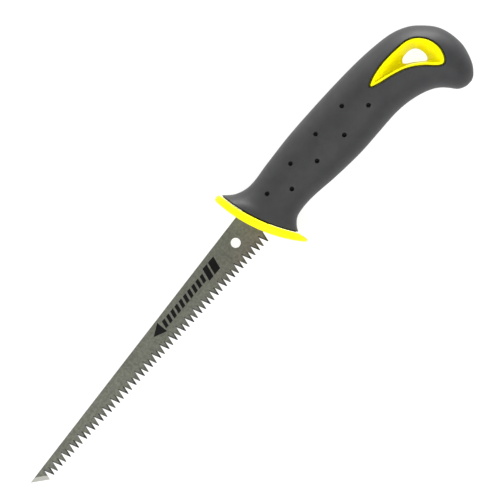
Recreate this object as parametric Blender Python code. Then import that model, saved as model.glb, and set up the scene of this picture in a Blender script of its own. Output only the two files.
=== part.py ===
"""A jab saw for plasterboard: a fixed pointed blade in a hooked handle of two plastics.

It is drawn with the blade's middle plane at z = 0, +X from the point to the butt of the handle and
+Y from the teeth to the spine. x = 0 is close to the guard's foremost point, and y = 0 is 0.2 mm
below the middle of the blade. At the end an empty carries every piece, so that the saw lies on its
side with the middle of the underside of its box at the origin. Sizes are in metres, apart from the
places drawn on the handle's outline, which are in millimetres.
"""

import math

import bmesh
import bpy
from mathutils import Matrix, Vector
from mathutils.bvhtree import BVHTree

MM = 0.001

# Gaps between pieces that touch, and between a pin and its hole.
CLEARANCE = 0.3 * MM

# Blade
BLADE_LENGTH = 150.4 * MM
BLADE_THICKNESS = 1.2 * MM
BLADE_WIDTH = 17.9 * MM
BLADE_WIDTH_AT_POINT = 5.3 * MM
BLADE_AXIS = 0.2 * MM
POINT_SLANT = 6.6 * MM
TOOTH_PAIR = 5.465 * MM
DEEP_GULLET = 3.9 * MM
SHALLOW_GULLET = 3.2 * MM
DEEP_MOUTH = 3.0 * MM
BLADE_HOLE = 4.5 * MM
BLADE_HOLE_FROM_GUARD = 8.7 * MM
BLADE_HOLE_ABOVE_AXIS = 1.6 * MM
STRIP_LENGTH = 4.0 * MM

# Tang, the narrow tail of the blade inside the handle, and its two pins
TANG_AXIS = 2.0 * MM
TANG_WIDTH = 11.0 * MM
TANG_END_WIDTH = 9.0 * MM
TANG_TO_HANG_HOLE = 6.3 * MM
PIN_DIAMETER = 4.0 * MM
PIN_COVER = 2.1 * MM
FRONT_PIN_BEHIND_SPIGOT = 6.4 * MM
REAR_PIN_FROM_TANG_END = 18.0 * MM

# Guard: a plate bent to an arc, bulging towards the blade. Its top and bottom are heights drawn on
# the handle's outline, in millimetres.
GUARD_BACK_RADIUS = 80.2 * MM
GUARD_THICKNESS = 3.9 * MM
GUARD_END_THICKNESS = 3.3 * MM
GUARD_ARC_CENTRE = Vector((84.05, 21.4)) * MM
GUARD_RIM_ROUNDING = 1.3 * MM
GUARD_TOP = 21.7
GUARD_BOTTOM = -20.9
GUARD_LIP_RELIEF = 1.8 * MM
GUARD_SHOULDER_DEPTH = 1.8 * MM
GUARD_ARC_STEP = 3.0 * MM
SPIGOT_END = 17.0 * MM
SPIGOT_WALL = 2.0 * MM
SPIGOT_LIP_COVER = 0.9 * MM
SPIGOT_LIP_LENGTH = 3.0 * MM

# Handle. Its outline is drawn for the three drawn sizes and stretched to the real ones.
HANDLE_REACH = 126.1 * MM
HANDLE_HEIGHT = 54.1 * MM
HANDLE_THICKNESS = 28.0 * MM
DRAWN_REACH = 126.1 * MM
DRAWN_HEIGHT = 54.1 * MM
DRAWN_THICKNESS = 28.0 * MM
GRIP_WALL = 2.5 * MM
GRIP_SQUARENESS = 2.3
GRIP_SIDES = 24
SECTION_STEPS = 2

# Core: its blunt end, and the pegs of its left half, placed in millimetres on the outline
CORE_END_ROUNDING = 2.0 * MM
PEG_DIAMETER = 4.0 * MM
PEG_COVER = 2.4 * MM
PEG_ROOT = 2.0 * MM
PEG_PLACES = ((42.0, -7.5), (97.0, -12.5))

# Dimples in the grip's two faces, in two staggered rows, placed in millimetres on the outline
DIMPLE_DIAMETER = 2.2 * MM
DIMPLE_PLACES = (
    (17.9, 5.1), (34.9, 5.8), (52.2, 5.7), (69.3, 4.8),
    (26.7, -2.0), (43.5, -2.5), (60.2, -4.4), (77.3, -4.1),
)

# Hang hole
LINER_RIM = 0.9 * MM
LINER_SINK = 0.2 * MM
LINER_COLLAR = 1.5 * MM
LINER_WAIST_HALF_DEPTH = 1.5 * MM
LINER_POINTS = 48

# Cross-sections of the handle, in millimetres: a point on the outer edge, the matching point on the
# inner edge, and half the thickness there. The first lies beyond the guard and is trimmed off; the
# last ones close the lobe below the butt.
HANDLE_SECTIONS = (
    ((0.8, 26.0), (11.0, -22.0), 13.2),
    ((4.0, 21.1), (13.8, -17.0), 12.7),
    ((9.0, 15.9), (16.2, -13.8), 12.0),
    ((16.0, 13.4), (20.0, -11.6), 11.6),
    ((28.0, 13.9), (29.0, -11.3), 11.8),
    ((44.0, 14.5), (44.0, -13.5), 12.4),
    ((60.0, 14.2), (59.0, -15.1), 12.8),
    ((76.0, 13.5), (72.0, -15.4), 13.1),
    ((90.0, 12.4), (82.0, -15.6), 13.5),
    ((101.0, 10.8), (89.0, -16.5), 13.9),
    ((109.5, 8.7), (94.5, -18.0), 14.0),
    ((116.4, 5.0), (99.0, -19.8), 13.9),
    ((121.2, 0.0), (102.5, -21.8), 13.6),
    ((124.6, -5.3), (105.0, -24.0), 13.1),
    ((126.1, -11.5), (107.0, -26.6), 12.3),
    ((125.9, -18.5), (108.3, -28.7), 11.0),
    ((124.2, -23.7), (109.3, -30.1), 9.3),
    ((121.8, -28.1), (110.9, -31.3), 6.9),
    ((118.6, -31.3), (113.0, -32.2), 3.7),
    ((116.3, -32.4), (115.0, -32.4), 0.9),
)
LAST_CORE_SECTION = 14

# The hang hole's mouth on each face, and its narrowest outline at mid-depth, in millimetres. Both
# start at the end nearer the guard and go round clockwise.
HANG_HOLE_MOUTH = (
    (84.3, 0.7), (89.0, 2.4), (96.0, 3.0), (104.0, 2.4), (110.5, 1.1), (114.3, -1.6), (116.8, -6.0),
    (117.2, -11.3), (115.4, -15.9), (113.2, -17.5), (110.9, -16.1), (106.6, -10.9), (101.1, -6.4),
    (94.0, -3.2), (88.0, -1.2),
)
HANG_HOLE_WAIST = (
    (102.0, -3.6), (103.4, -2.1), (106.2, -1.7), (108.7, -2.1), (110.8, -3.2), (111.9, -5.1),
    (112.3, -7.4), (111.9, -9.7), (110.8, -11.3), (109.3, -10.9), (106.8, -8.5), (104.4, -6.4),
    (102.6, -4.9),
)

# How far forward of x = 0 the cutters reach that open the guard and the handle towards the blade
FRONT_REACH = 10.0 * MM
PIN_HOLE = PIN_DIAMETER + 2 * CLEARANCE
SLOT_HALF_DEPTH = BLADE_THICKNESS / 2 + CLEARANCE
SPIGOT_HALF_DEPTH = SLOT_HALF_DEPTH + SPIGOT_WALL
GUARD_FRONT_RADIUS = GUARD_BACK_RADIUS + GUARD_THICKNESS
HEEL_RADIUS = GUARD_BACK_RADIUS + GUARD_THICKNESS - GUARD_SHOULDER_DEPTH


def handle_point(x, y):
    """A place on the handle's drawing, stretched to the handle's real reach and height."""
    return Vector((x * HANDLE_REACH / DRAWN_REACH, y * HANDLE_HEIGHT / DRAWN_HEIGHT)) * MM


def material(name, colour, roughness, metallic=0.0):
    surface = bpy.data.materials.new(name)
    surface.use_nodes = True
    shader = surface.node_tree.nodes["Principled BSDF"]
    shader.inputs["Base Color"].default_value = (*colour, 1.0)
    shader.inputs["Roughness"].default_value = roughness
    shader.inputs["Metallic"].default_value = metallic
    return surface


def add_piece(name, shape, parent, surface=None):
    """Turns a bmesh into an object under the saw's empty, with its faces pointing out."""
    bmesh.ops.recalc_face_normals(shape, faces=shape.faces)
    mesh = bpy.data.meshes.new(name)
    shape.to_mesh(mesh)
    shape.free()
    piece = bpy.data.objects.new(name, mesh)
    piece.parent = parent
    bpy.context.scene.collection.objects.link(piece)
    if surface:
        mesh.materials.append(surface)
    return piece


def add_cutter(name, shape, parent):
    cutter = add_piece(name, shape, parent)
    cutter.hide_render = True
    cutter.display_type = "WIRE"
    return cutter


def combine(piece, tool, operation="DIFFERENCE"):
    step = piece.modifiers.new(f"{operation.lower()} {tool.name}", "BOOLEAN")
    step.operation = operation
    step.solver = "EXACT"
    step.object = tool


def smooth(piece, angle=math.radians(35)):
    piece.data.shade_smooth()
    piece.data.set_sharp_from_angle(angle=angle)


def curve_through(points, steps, closed=False):
    """Points of a smooth curve through the given ones, with so many steps from each to the next."""
    points = [Vector(point) for point in points]
    count = len(points)
    spans = count if closed else count - 1
    found = []
    for span in range(spans):
        before = points[span - 1] if closed or span else points[0]
        start = points[span]
        end = points[(span + 1) % count]
        after = points[(span + 2) % count] if closed or span + 2 < count else points[-1]
        length = (end - start).length
        leaving = (end - before) / max((start - before).length + length, MM * MM) * length
        arriving = (after - start) / max((after - end).length + length, MM * MM) * length
        for step in range(steps):
            t = step / steps
            found.append(
                (2 * t**3 - 3 * t**2 + 1) * start
                + (t**3 - 2 * t**2 + t) * leaving
                + (3 * t**2 - 2 * t**3) * end
                + (t**3 - t**2) * arriving
            )
    if not closed:
        found.append(points[-1])
    return found


def even_loop(points, count):
    """So many points, evenly spaced, on the smooth closed curve through the given ones."""
    curve = curve_through(points, 12, closed=True)
    curve.append(curve[0])
    lengths = [(b - a).length for a, b in zip(curve, curve[1:])]
    total = sum(lengths)
    found = []
    run = 0.0
    for a, b, length in zip(curve, curve[1:], lengths):
        while len(found) < count and len(found) * total / count < run + length:
            found.append(a.lerp(b, (len(found) * total / count - run) / length))
        run += length
    return found


def grown(loop, margin):
    """A closed clockwise outline moved outwards by the margin, or inwards if it is negative."""
    found = []
    for index, point in enumerate(loop):
        arriving = (point - loop[index - 1]).normalized()
        leaving = (loop[(index + 1) % len(loop)] - point).normalized()
        along = (arriving + leaving).normalized()
        found.append(point + Vector((-along.y, along.x)) * margin / along.dot(leaving))
    return found


def prism(outline, low, high):
    """A flat outline drawn out from z = low to z = high."""
    shape = bmesh.new()
    face = shape.faces.new([shape.verts.new((x, y, low)) for x, y in outline])
    walls = bmesh.ops.extrude_face_region(shape, geom=[face])
    top = [item for item in walls["geom"] if isinstance(item, bmesh.types.BMVert)]
    bmesh.ops.translate(shape, verts=top, vec=(0.0, 0.0, high - low))
    return shape


def box(x_range, y_range, half_depth):
    (x0, x1), (y0, y1) = x_range, y_range
    return prism(((x0, y0), (x1, y0), (x1, y1), (x0, y1)), -half_depth, half_depth)


def round_bar(diameter, length, places, sides=24):
    """Straight round bars along z, centred on z = 0, one at each place."""
    shape = bmesh.new()
    for place in places:
        bmesh.ops.create_cone(
            shape,
            cap_ends=True,
            segments=sides,
            radius1=diameter / 2,
            radius2=diameter / 2,
            depth=length,
            matrix=Matrix.Translation((place[0], place[1], 0.0)),
        )
    return shape


def arc_x(y, radius):
    """Where an arc about the guard's centre lies at height y."""
    rise = y - GUARD_ARC_CENTRE.y
    return GUARD_ARC_CENTRE.x - math.sqrt(radius**2 - rise**2)


def arc_point(run, radius):
    """A point on an arc about the guard's centre, at a run measured up the guard's back face."""
    angle = run / GUARD_BACK_RADIUS
    return GUARD_ARC_CENTRE + radius * Vector((-math.cos(angle), math.sin(angle)))


def arc_run(y):
    """The run up the guard's back face at which the face reaches height y."""
    return GUARD_BACK_RADIUS * math.asin((y - GUARD_ARC_CENTRE.y) / GUARD_BACK_RADIUS)


def arc_band(near_radius, far_radius, low_run, high_run, half_depth):
    """A slab between two arcs about the guard's centre, faceted at the same places as the guard."""
    first = math.ceil(low_run / GUARD_ARC_STEP)
    last = math.floor(high_run / GUARD_ARC_STEP)
    stops = {stop * GUARD_ARC_STEP for stop in range(first, last + 1)}
    runs = sorted(stops | {low_run, high_run})
    outline = [arc_point(run, near_radius) for run in runs]
    outline += [arc_point(run, far_radius) for run in reversed(runs)]
    return prism(outline, -half_depth, half_depth)


def half_width(x):
    """Half the blade's width at a place, from its axis to the spine or to the tips of the teeth."""
    taper = (BLADE_WIDTH - BLADE_WIDTH_AT_POINT) / BLADE_LENGTH
    return (BLADE_WIDTH + taper * x) / 2


def spine_y(x):
    return BLADE_AXIS + half_width(x)


def tooth_tip_y(x):
    return BLADE_AXIS - half_width(x)


def guard_front():
    """Where the guard's front face meets the line of the spine; the blade is measured from here."""
    return arc_x(spine_y(0.0), GUARD_FRONT_RADIUS)


def blade_point():
    x = guard_front() - BLADE_LENGTH
    return Vector((x, spine_y(x)))


def tang_end():
    return handle_point(*HANG_HOLE_MOUTH[0]).x - TANG_TO_HANG_HOLE


def tang_outline():
    """The tang's two long sides and its end, from its lower front corner round to its upper one."""
    low, high = TANG_AXIS - TANG_WIDTH / 2, TANG_AXIS + TANG_WIDTH / 2
    end_low, end_high = TANG_AXIS - TANG_END_WIDTH / 2, TANG_AXIS + TANG_END_WIDTH / 2
    corner = TANG_END_WIDTH / 4
    end = tang_end()
    return [
        Vector((arc_x(low, HEEL_RADIUS + CLEARANCE), low)),
        Vector((end - corner, end_low)),
        Vector((end, end_low + corner)),
        Vector((end, end_high - corner)),
        Vector((end - corner, end_high)),
        Vector((arc_x(high, HEEL_RADIUS + CLEARANCE), high)),
    ]


def tang_pocket():
    """The room for the tang, open towards the blade."""
    outline = tang_outline()
    outline += [Vector((-FRONT_REACH, outline[-1].y)), Vector((-FRONT_REACH, outline[0].y))]
    outline.reverse()
    return prism(grown(outline, CLEARANCE), -SLOT_HALF_DEPTH, SLOT_HALF_DEPTH)


def pin_places():
    front = SPIGOT_END + FRONT_PIN_BEHIND_SPIGOT
    rear = tang_end() - REAR_PIN_FROM_TANG_END
    return [Vector((front, TANG_AXIS)), Vector((rear, TANG_AXIS))]


def pin_length():
    """The pins stop short of the core's surface at the thinnest part of the handle."""
    thinnest = min(half_depth for *_, half_depth in HANDLE_SECTIONS[:LAST_CORE_SECTION])
    thinnest *= MM * HANDLE_THICKNESS / DRAWN_THICKNESS
    return 2 * (thinnest - GRIP_WALL - PIN_COVER)


def tooth_points():
    """The toothed edge from the point to the heel: tips on a sloping line, deep and shallow gullets."""
    first_tip = blade_point().x + POINT_SLANT
    pairs = int((guard_front() - first_tip) / TOOTH_PAIR) + 1
    found = []
    for pair in range(pairs):
        tip = first_tip + pair * TOOTH_PAIR
        deep = tip + DEEP_MOUTH / 2
        next_tip = tip + DEEP_MOUTH
        shallow = (next_tip + tip + TOOTH_PAIR) / 2
        found.append(Vector((tip, tooth_tip_y(tip))))
        found.append(Vector((deep, tooth_tip_y(deep) + DEEP_GULLET)))
        found.append(Vector((next_tip, tooth_tip_y(next_tip))))
        found.append(Vector((shallow, tooth_tip_y(shallow) + SHALLOW_GULLET)))
    return found


def upright_arc(low_y, high_y, radius, steps=4):
    """Points up an arc about the guard's centre, from one height to another."""
    heights = [low_y + (high_y - low_y) * step / steps for step in range(steps + 1)]
    return [Vector((arc_x(y, radius), y)) for y in heights]


def blade_hole_place():
    return Vector((guard_front() - BLADE_HOLE_FROM_GUARD, BLADE_AXIS + BLADE_HOLE_ABOVE_AXIS))


def build_blade(saw, steel):
    """The blade with its teeth and tang: one sheet of steel, cut across into short strips."""
    teeth = tooth_points()
    heel = HEEL_RADIUS + CLEARANCE
    lower_shoulder = upright_arc(teeth[-1].y, TANG_AXIS - TANG_WIDTH / 2, heel)
    upper_shoulder = upright_arc(TANG_AXIS + TANG_WIDTH / 2, spine_y(0.0), heel)
    outline = [blade_point(), *teeth, *lower_shoulder[:-1], *tang_outline(), *upper_shoulder[1:]]
    sheet = bmesh.new()
    sheet.faces.new([sheet.verts.new((x, y, -BLADE_THICKNESS / 2)) for x, y in outline])
    strips = int((BLADE_LENGTH + tang_end()) / STRIP_LENGTH)
    for strip in range(1, strips):
        bmesh.ops.bisect_plane(
            sheet,
            geom=[*sheet.verts, *sheet.edges, *sheet.faces],
            dist=0.01 * MM,
            plane_co=(blade_point().x + strip * STRIP_LENGTH, 0.0, 0.0),
            plane_no=(1.0, 0.0, 0.0),
        )
    walls = bmesh.ops.extrude_face_region(sheet, geom=[*sheet.faces])
    top = [item for item in walls["geom"] if isinstance(item, bmesh.types.BMVert)]
    bmesh.ops.translate(sheet, verts=top, vec=(0.0, 0.0, BLADE_THICKNESS))
    blade = add_piece("blade", sheet, saw, steel)
    drill = round_bar(BLADE_HOLE, 4 * BLADE_THICKNESS, [blade_hole_place()], sides=32)
    combine(blade, add_cutter("blade_hole_drill", drill, saw))
    pin_drill = round_bar(PIN_HOLE, 4 * BLADE_THICKNESS, pin_places())
    combine(blade, add_cutter("tang_hole_drill", pin_drill, saw))
    return blade


def superellipse(value, squareness):
    return math.copysign(abs(value) ** (2 / squareness), value)


def handle_sections(inset):
    """The handle's cross-sections, moved in from its surface: outer point, inner point, half depth."""
    drawn = []
    for outer, inner, half in HANDLE_SECTIONS:
        half_depth = half * MM * HANDLE_THICKNESS / DRAWN_THICKNESS
        drawn.append((*handle_point(*outer), *handle_point(*inner), half_depth))
    found = []
    for place in smooth_sections(drawn):
        outer, inner, half_depth = Vector(place[0:2]), Vector(place[2:4]), place[4]
        inwards = (inner - outer).normalized() * inset
        found.append((outer + inwards, inner - inwards, half_depth - inset))
    return found


def smooth_sections(drawn):
    """The same sections with more between them, so that every edge runs smoothly."""
    return curve_through([list(row) for row in drawn], SECTION_STEPS)


def add_section(shape, outer, inner, half_depth):
    """One closed ring between an outer and an inner point, rounded like a squarish oval."""
    ring = bmesh.ops.create_circle(shape, segments=GRIP_SIDES, radius=1.0)["verts"]
    middle = (outer + inner) / 2
    reach = (outer - inner) / 2
    for vert in ring:
        across = superellipse(vert.co.x, GRIP_SQUARENESS)
        up = superellipse(vert.co.y, GRIP_SQUARENESS)
        vert.co = (middle.x + reach.x * across, middle.y + reach.y * across, half_depth * up)
    return ring


def loft(shape, rings):
    """Skins one ring to the next and closes both ends."""
    count = len(rings[0])
    for near, far in zip(rings, rings[1:]):
        for side in range(count):
            corner = (side + 1) % count
            shape.faces.new((near[side], near[corner], far[corner], far[side]))
    shape.faces.new(rings[0])
    shape.faces.new(rings[-1])


def handle_body(inset, last=None, rounding=0.0, end_gap=0.0):
    """The handle's outer form moved in by the inset, up to a section, with a blunt rounded end."""
    shape = bmesh.new()
    sections = handle_sections(inset)
    stop = len(sections) if last is None else last * SECTION_STEPS + 1
    rings = [add_section(shape, *section) for section in sections[:stop]]
    if last is not None:
        outer, inner, half_depth = sections[stop - 1]
        across = (outer - inner).normalized() * rounding
        onwards = Vector((across.y, -across.x)).normalized() * (rounding + end_gap)
        end = (outer - across + onwards, inner + across + onwards, half_depth - rounding)
        rings.append(add_section(shape, *end))
    loft(shape, rings)
    return shape


def front_trim(saw, name, gap):
    """Cuts off whatever reaches forward of the guard's back face, less a gap."""
    low_run = arc_run(handle_point(*HANDLE_SECTIONS[0][1]).y) - 4 * GUARD_ARC_STEP
    high_run = arc_run(handle_point(*HANDLE_SECTIONS[0][0]).y) + 4 * GUARD_ARC_STEP
    near = GUARD_BACK_RADIUS - gap
    return add_cutter(name, arc_band(near, near + 20 * MM, low_run, high_run, HANDLE_THICKNESS), saw)


def surface_of(shape):
    """A shape's faces, sorted so that a ray can be cast at them."""
    bmesh.ops.recalc_face_normals(shape, faces=shape.faces)
    surface = BVHTree.FromBMesh(shape)
    shape.free()
    return surface


def surface_height(surface, place):
    """How high a form's upper face stands over a place in the middle plane."""
    hit, *_ = surface.ray_cast(Vector((place.x, place.y, HANDLE_THICKNESS)), Vector((0.0, 0.0, -1.0)))
    return hit.z


def build_dimples(saw, grip_surface):
    """Small balls half sunk in both faces of the grip, to cut the dimples with."""
    shape = bmesh.new()
    for place in [handle_point(*place) for place in DIMPLE_PLACES]:
        height = surface_height(grip_surface, place)
        for side in (-1, 1):
            bmesh.ops.create_uvsphere(
                shape,
                u_segments=10,
                v_segments=6,
                radius=DIMPLE_DIAMETER / 2,
                matrix=Matrix.Translation((place.x, place.y, side * height)),
            )
    return add_cutter("dimple_cutter", shape, saw)


def hang_hole_loop(points, margin=0.0):
    return grown(even_loop([handle_point(*point) for point in points], LINER_POINTS), margin)


def build_liner(saw, grip_surface, plastic):
    """The hang hole's liner: a funnel from each face to a waist, with a collar held by the core."""
    mouth = hang_hole_loop(HANG_HOLE_MOUTH)
    rim = grown(mouth, -LINER_RIM)
    collar = grown(mouth, LINER_COLLAR)
    waist = hang_hole_loop(HANG_HOLE_WAIST)
    shape = bmesh.new()

    def at_face(loop, side):
        heights = [surface_height(grip_surface, place) - LINER_SINK for place in mouth]
        return [shape.verts.new((*place, side * height)) for place, height in zip(loop, heights)]

    def at_depth(loop, depth):
        return [shape.verts.new((*place, depth)) for place in loop]

    deep = LINER_WAIST_HALF_DEPTH
    rings = [
        at_face(mouth, 1),
        at_depth(mouth, deep),
        at_depth(collar, deep),
        at_depth(collar, -deep),
        at_depth(mouth, -deep),
        at_face(mouth, -1),
        at_face(rim, -1),
        at_depth(waist, -deep),
        at_depth(waist, deep),
        at_face(rim, 1),
    ]
    for near, far in zip(rings, [*rings[1:], rings[0]]):
        for side in range(LINER_POINTS):
            corner = (side + 1) % LINER_POINTS
            shape.faces.new((near[side], near[corner], far[corner], far[side]))
    liner = add_piece("hang_hole_liner", shape, saw, plastic)
    smooth(liner)
    return liner


def build_guard(saw, core_surface, plastic):
    """The bent plate, its spigot with a lip that the core grips, and the slot for the blade.

    The plate thins towards both ends, and the back of its lower lip leans away from the fingers.
    """
    top = arc_run(handle_point(0.0, GUARD_TOP).y)
    bottom = arc_run(handle_point(0.0, GUARD_BOTTOM).y)
    middle = (top + bottom) / 2
    half_height = (top - bottom) / 2
    half_width = max(half_depth for *_, half_depth in handle_sections(0.0)[SECTION_STEPS:])
    shape = bmesh.new()
    rounding = GUARD_RIM_ROUNDING
    levels = [(0.0, rounding), (0.3 * rounding, 0.3 * rounding), (rounding, 0.0)]
    levels += [(GUARD_THICKNESS - height, inset) for height, inset in reversed(levels)]
    rings = []
    for height, inset in levels:
        ring = bmesh.ops.create_circle(shape, segments=2 * GRIP_SIDES, radius=1.0)["verts"]
        for vert in ring:
            up = superellipse(vert.co.y, GRIP_SQUARENESS) * (half_height - inset)
            out = superellipse(vert.co.x, GRIP_SQUARENESS) * (half_width - inset)
            vert.co = (height, middle + up, out)
        rings.append(ring)
    loft(shape, rings)
    first = math.ceil(bottom / GUARD_ARC_STEP)
    last = math.floor(top / GUARD_ARC_STEP)
    for stop in range(first, last + 1):
        bmesh.ops.bisect_plane(
            shape,
            geom=[*shape.verts, *shape.edges, *shape.faces],
            dist=0.01 * MM,
            plane_co=(0.0, stop * GUARD_ARC_STEP, 0.0),
            plane_no=(0.0, 1.0, 0.0),
        )
    thinning = 1 - GUARD_END_THICKNESS / GUARD_THICKNESS
    lip = arc_run(handle_point(*HANDLE_SECTIONS[1][1]).y)
    for vert in shape.verts:
        height, run, out = vert.co
        past_grip = max(0.0, (lip - run) / (lip - bottom))
        relief = GUARD_LIP_RELIEF * past_grip * (1 - height / GUARD_THICKNESS)
        height *= 1 - thinning * ((run - middle) / half_height) ** 2
        vert.co = (*arc_point(run, GUARD_BACK_RADIUS + height + relief), out)
    guard = add_piece("guard", shape, saw, plastic)
    combine(guard, add_cutter("guard_spigot", spigot(0.0, arc_start=True), saw), "UNION")
    combine(guard, add_cutter("guard_spigot_lip", spigot_lip(core_surface), saw), "UNION")
    combine(guard, add_cutter("tang_slot", tang_pocket(), saw))
    low, high = tooth_points()[-1].y - CLEARANCE, spine_y(0.0) + CLEARANCE
    seat = upright_arc(low, high, HEEL_RADIUS)
    seat += [Vector((-FRONT_REACH, high)), Vector((-FRONT_REACH, low))]
    seat = prism(seat, -SLOT_HALF_DEPTH, SLOT_HALF_DEPTH)
    combine(guard, add_cutter("blade_seat", seat, saw))
    smooth(guard)
    return guard


def spigot(margin, arc_start=False):
    """The guard's spigot round the tang, or the pocket for it when it is given a margin."""
    low = TANG_AXIS - TANG_WIDTH / 2 - CLEARANCE - SPIGOT_WALL / 2 - margin
    high = TANG_AXIS + TANG_WIDTH / 2 + CLEARANCE + SPIGOT_WALL / 2 + margin
    half_depth = SPIGOT_HALF_DEPTH + margin
    end = SPIGOT_END + margin
    if not arc_start:
        return box((-FRONT_REACH, end), (low, high), half_depth)
    outline = upright_arc(low, high, GUARD_BACK_RADIUS + GUARD_THICKNESS / 3)
    outline += [Vector((end, high)), Vector((end, low))]
    return prism(outline, -half_depth, half_depth)


def spigot_lip(core_surface, margin=0.0):
    """The lip at the spigot's end, as deep as the core can cover at the lip's thinnest corner."""
    low = TANG_AXIS - TANG_WIDTH / 2 - CLEARANCE - SPIGOT_WALL / 2
    high = TANG_AXIS + TANG_WIDTH / 2 + CLEARANCE + SPIGOT_WALL / 2
    corner = Vector((SPIGOT_END, high + CLEARANCE))
    half_depth = surface_height(core_surface, corner) - SPIGOT_LIP_COVER
    x_range = (SPIGOT_END - SPIGOT_LIP_LENGTH - margin, SPIGOT_END + margin)
    return box(x_range, (low - margin, high + margin), half_depth + margin)


def peg_length(core_surface, places):
    """The pegs and their sockets stay covered by the core where it is thinnest over them."""
    return min(surface_height(core_surface, place) for place in places) - PEG_COVER


def build_core(saw, core_surface, plastic, tools):
    """The rigid core in two halves, one each side of the tang, with pegs on the left half."""
    halves = {}
    for name, side in (("core_left", 1), ("core_right", -1)):
        shape = handle_body(GRIP_WALL, LAST_CORE_SECTION, CORE_END_ROUNDING)
        bmesh.ops.bisect_plane(
            shape,
            geom=[*shape.verts, *shape.edges, *shape.faces],
            dist=0.001 * MM,
            plane_co=(0.0, 0.0, side * CLEARANCE / 2),
            plane_no=(0.0, 0.0, side),
            clear_inner=True,
        )
        rim = [edge for edge in shape.edges if edge.is_boundary]
        bmesh.ops.contextual_create(shape, geom=rim)
        half = add_piece(name, shape, saw, plastic)
        for tool in tools:
            combine(half, tool)
        smooth(half)
        halves[name] = half
    places = [handle_point(*place) for place in PEG_PLACES]
    length = peg_length(core_surface, places)
    pegs = round_bar(PEG_DIAMETER, length + PEG_ROOT, places)
    bmesh.ops.translate(pegs, verts=pegs.verts, vec=(0.0, 0.0, (PEG_ROOT - length) / 2))
    combine(halves["core_left"], add_cutter("core_pegs", pegs, saw), "UNION")
    sockets = round_bar(PEG_DIAMETER + 2 * CLEARANCE, 2 * (length + CLEARANCE), places)
    combine(halves["core_right"], add_cutter("core_sockets", sockets, saw))


def build_pins(saw, steel):
    for name, place in zip(("tang_pin_front", "tang_pin_rear"), pin_places()):
        pin = add_piece(name, round_bar(PIN_DIAMETER, pin_length(), [(0.0, 0.0)]), saw, steel)
        pin.location = (place.x, place.y, 0.0)
        smooth(pin)


def build_handle(saw, grip_surface, core_surface, rubber, plastic):
    """The grip, the core halves inside it and the hang hole's liner."""
    trim = front_trim(saw, "front_trim", CLEARANCE)
    hole = hang_hole_loop(HANG_HOLE_MOUTH, CLEARANCE)
    hole_cutter = add_cutter("hang_hole_cutter", prism(hole, -HANDLE_THICKNESS, HANDLE_THICKNESS), saw)
    collar = hang_hole_loop(HANG_HOLE_MOUTH, LINER_COLLAR + CLEARANCE)
    collar_half_depth = LINER_WAIST_HALF_DEPTH + CLEARANCE
    collar_cutter = add_cutter("collar_groove", prism(collar, -collar_half_depth, collar_half_depth), saw)
    pin_holes = round_bar(PIN_HOLE, pin_length() + 2 * CLEARANCE, pin_places())
    core_tools = [
        trim,
        add_cutter("tang_pocket", tang_pocket(), saw),
        add_cutter("spigot_pocket", spigot(CLEARANCE), saw),
        add_cutter("spigot_lip_pocket", spigot_lip(core_surface, CLEARANCE), saw),
        add_cutter("pin_holes", pin_holes, saw),
        hole_cutter,
        collar_cutter,
    ]
    build_core(saw, core_surface, plastic, core_tools)
    build_liner(saw, grip_surface, plastic)
    grip = add_piece("grip", handle_body(0.0), saw, rubber)
    cavity = handle_body(GRIP_WALL - CLEARANCE, LAST_CORE_SECTION, CORE_END_ROUNDING, CLEARANCE)
    combine(grip, add_cutter("core_cavity", cavity, saw))
    combine(grip, trim)
    combine(grip, hole_cutter)
    combine(grip, build_dimples(saw, grip_surface))
    smooth(grip)


def lay_on_its_side(saw):
    """Moves the empty so that the middle of the underside of the saw's box is at the origin."""
    bpy.context.view_layer.update()
    depsgraph = bpy.context.evaluated_depsgraph_get()
    corners = []
    for piece in saw.children:
        if not piece.hide_render:
            corners += [piece.matrix_world @ Vector(c) for c in piece.evaluated_get(depsgraph).bound_box]
    low = Vector(min(corner[axis] for corner in corners) for axis in range(3))
    high = Vector(max(corner[axis] for corner in corners) for axis in range(3))
    saw.location = (-(low.x + high.x) / 2, -(low.y + high.y) / 2, -low.z)


def build():
    for obj in list(bpy.data.objects):
        bpy.data.objects.remove(obj)
    saw = bpy.data.objects.new("saw", None)
    bpy.context.scene.collection.objects.link(saw)
    steel = material("blade steel", (0.17, 0.175, 0.14), 0.45, 0.9)
    pin_steel = material("pin steel", (0.55, 0.55, 0.55), 0.3, 1.0)
    yellow = material("yellow plastic", (0.95, 0.9, 0.01), 0.4)
    rubber = material("dark soft plastic", (0.067, 0.069, 0.072), 0.7)
    grip_surface = surface_of(handle_body(0.0))
    core_surface = surface_of(handle_body(GRIP_WALL))
    build_blade(saw, steel)
    build_guard(saw, core_surface, yellow)
    build_handle(saw, grip_surface, core_surface, rubber, yellow)
    build_pins(saw, pin_steel)
    lay_on_its_side(saw)


build()
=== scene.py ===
# %% [markdown]
# # A jab saw
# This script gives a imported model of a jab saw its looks. The saw is a short pointed blade in a
# hooked handle of two plastics. The model that is loaded first holds every piece at its real size,
# but with coarse faces. Here each visible piece is made again with fine faces, soft edges and a
# material of its own, and the hidden pieces keep their shape and get a finish.

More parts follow.
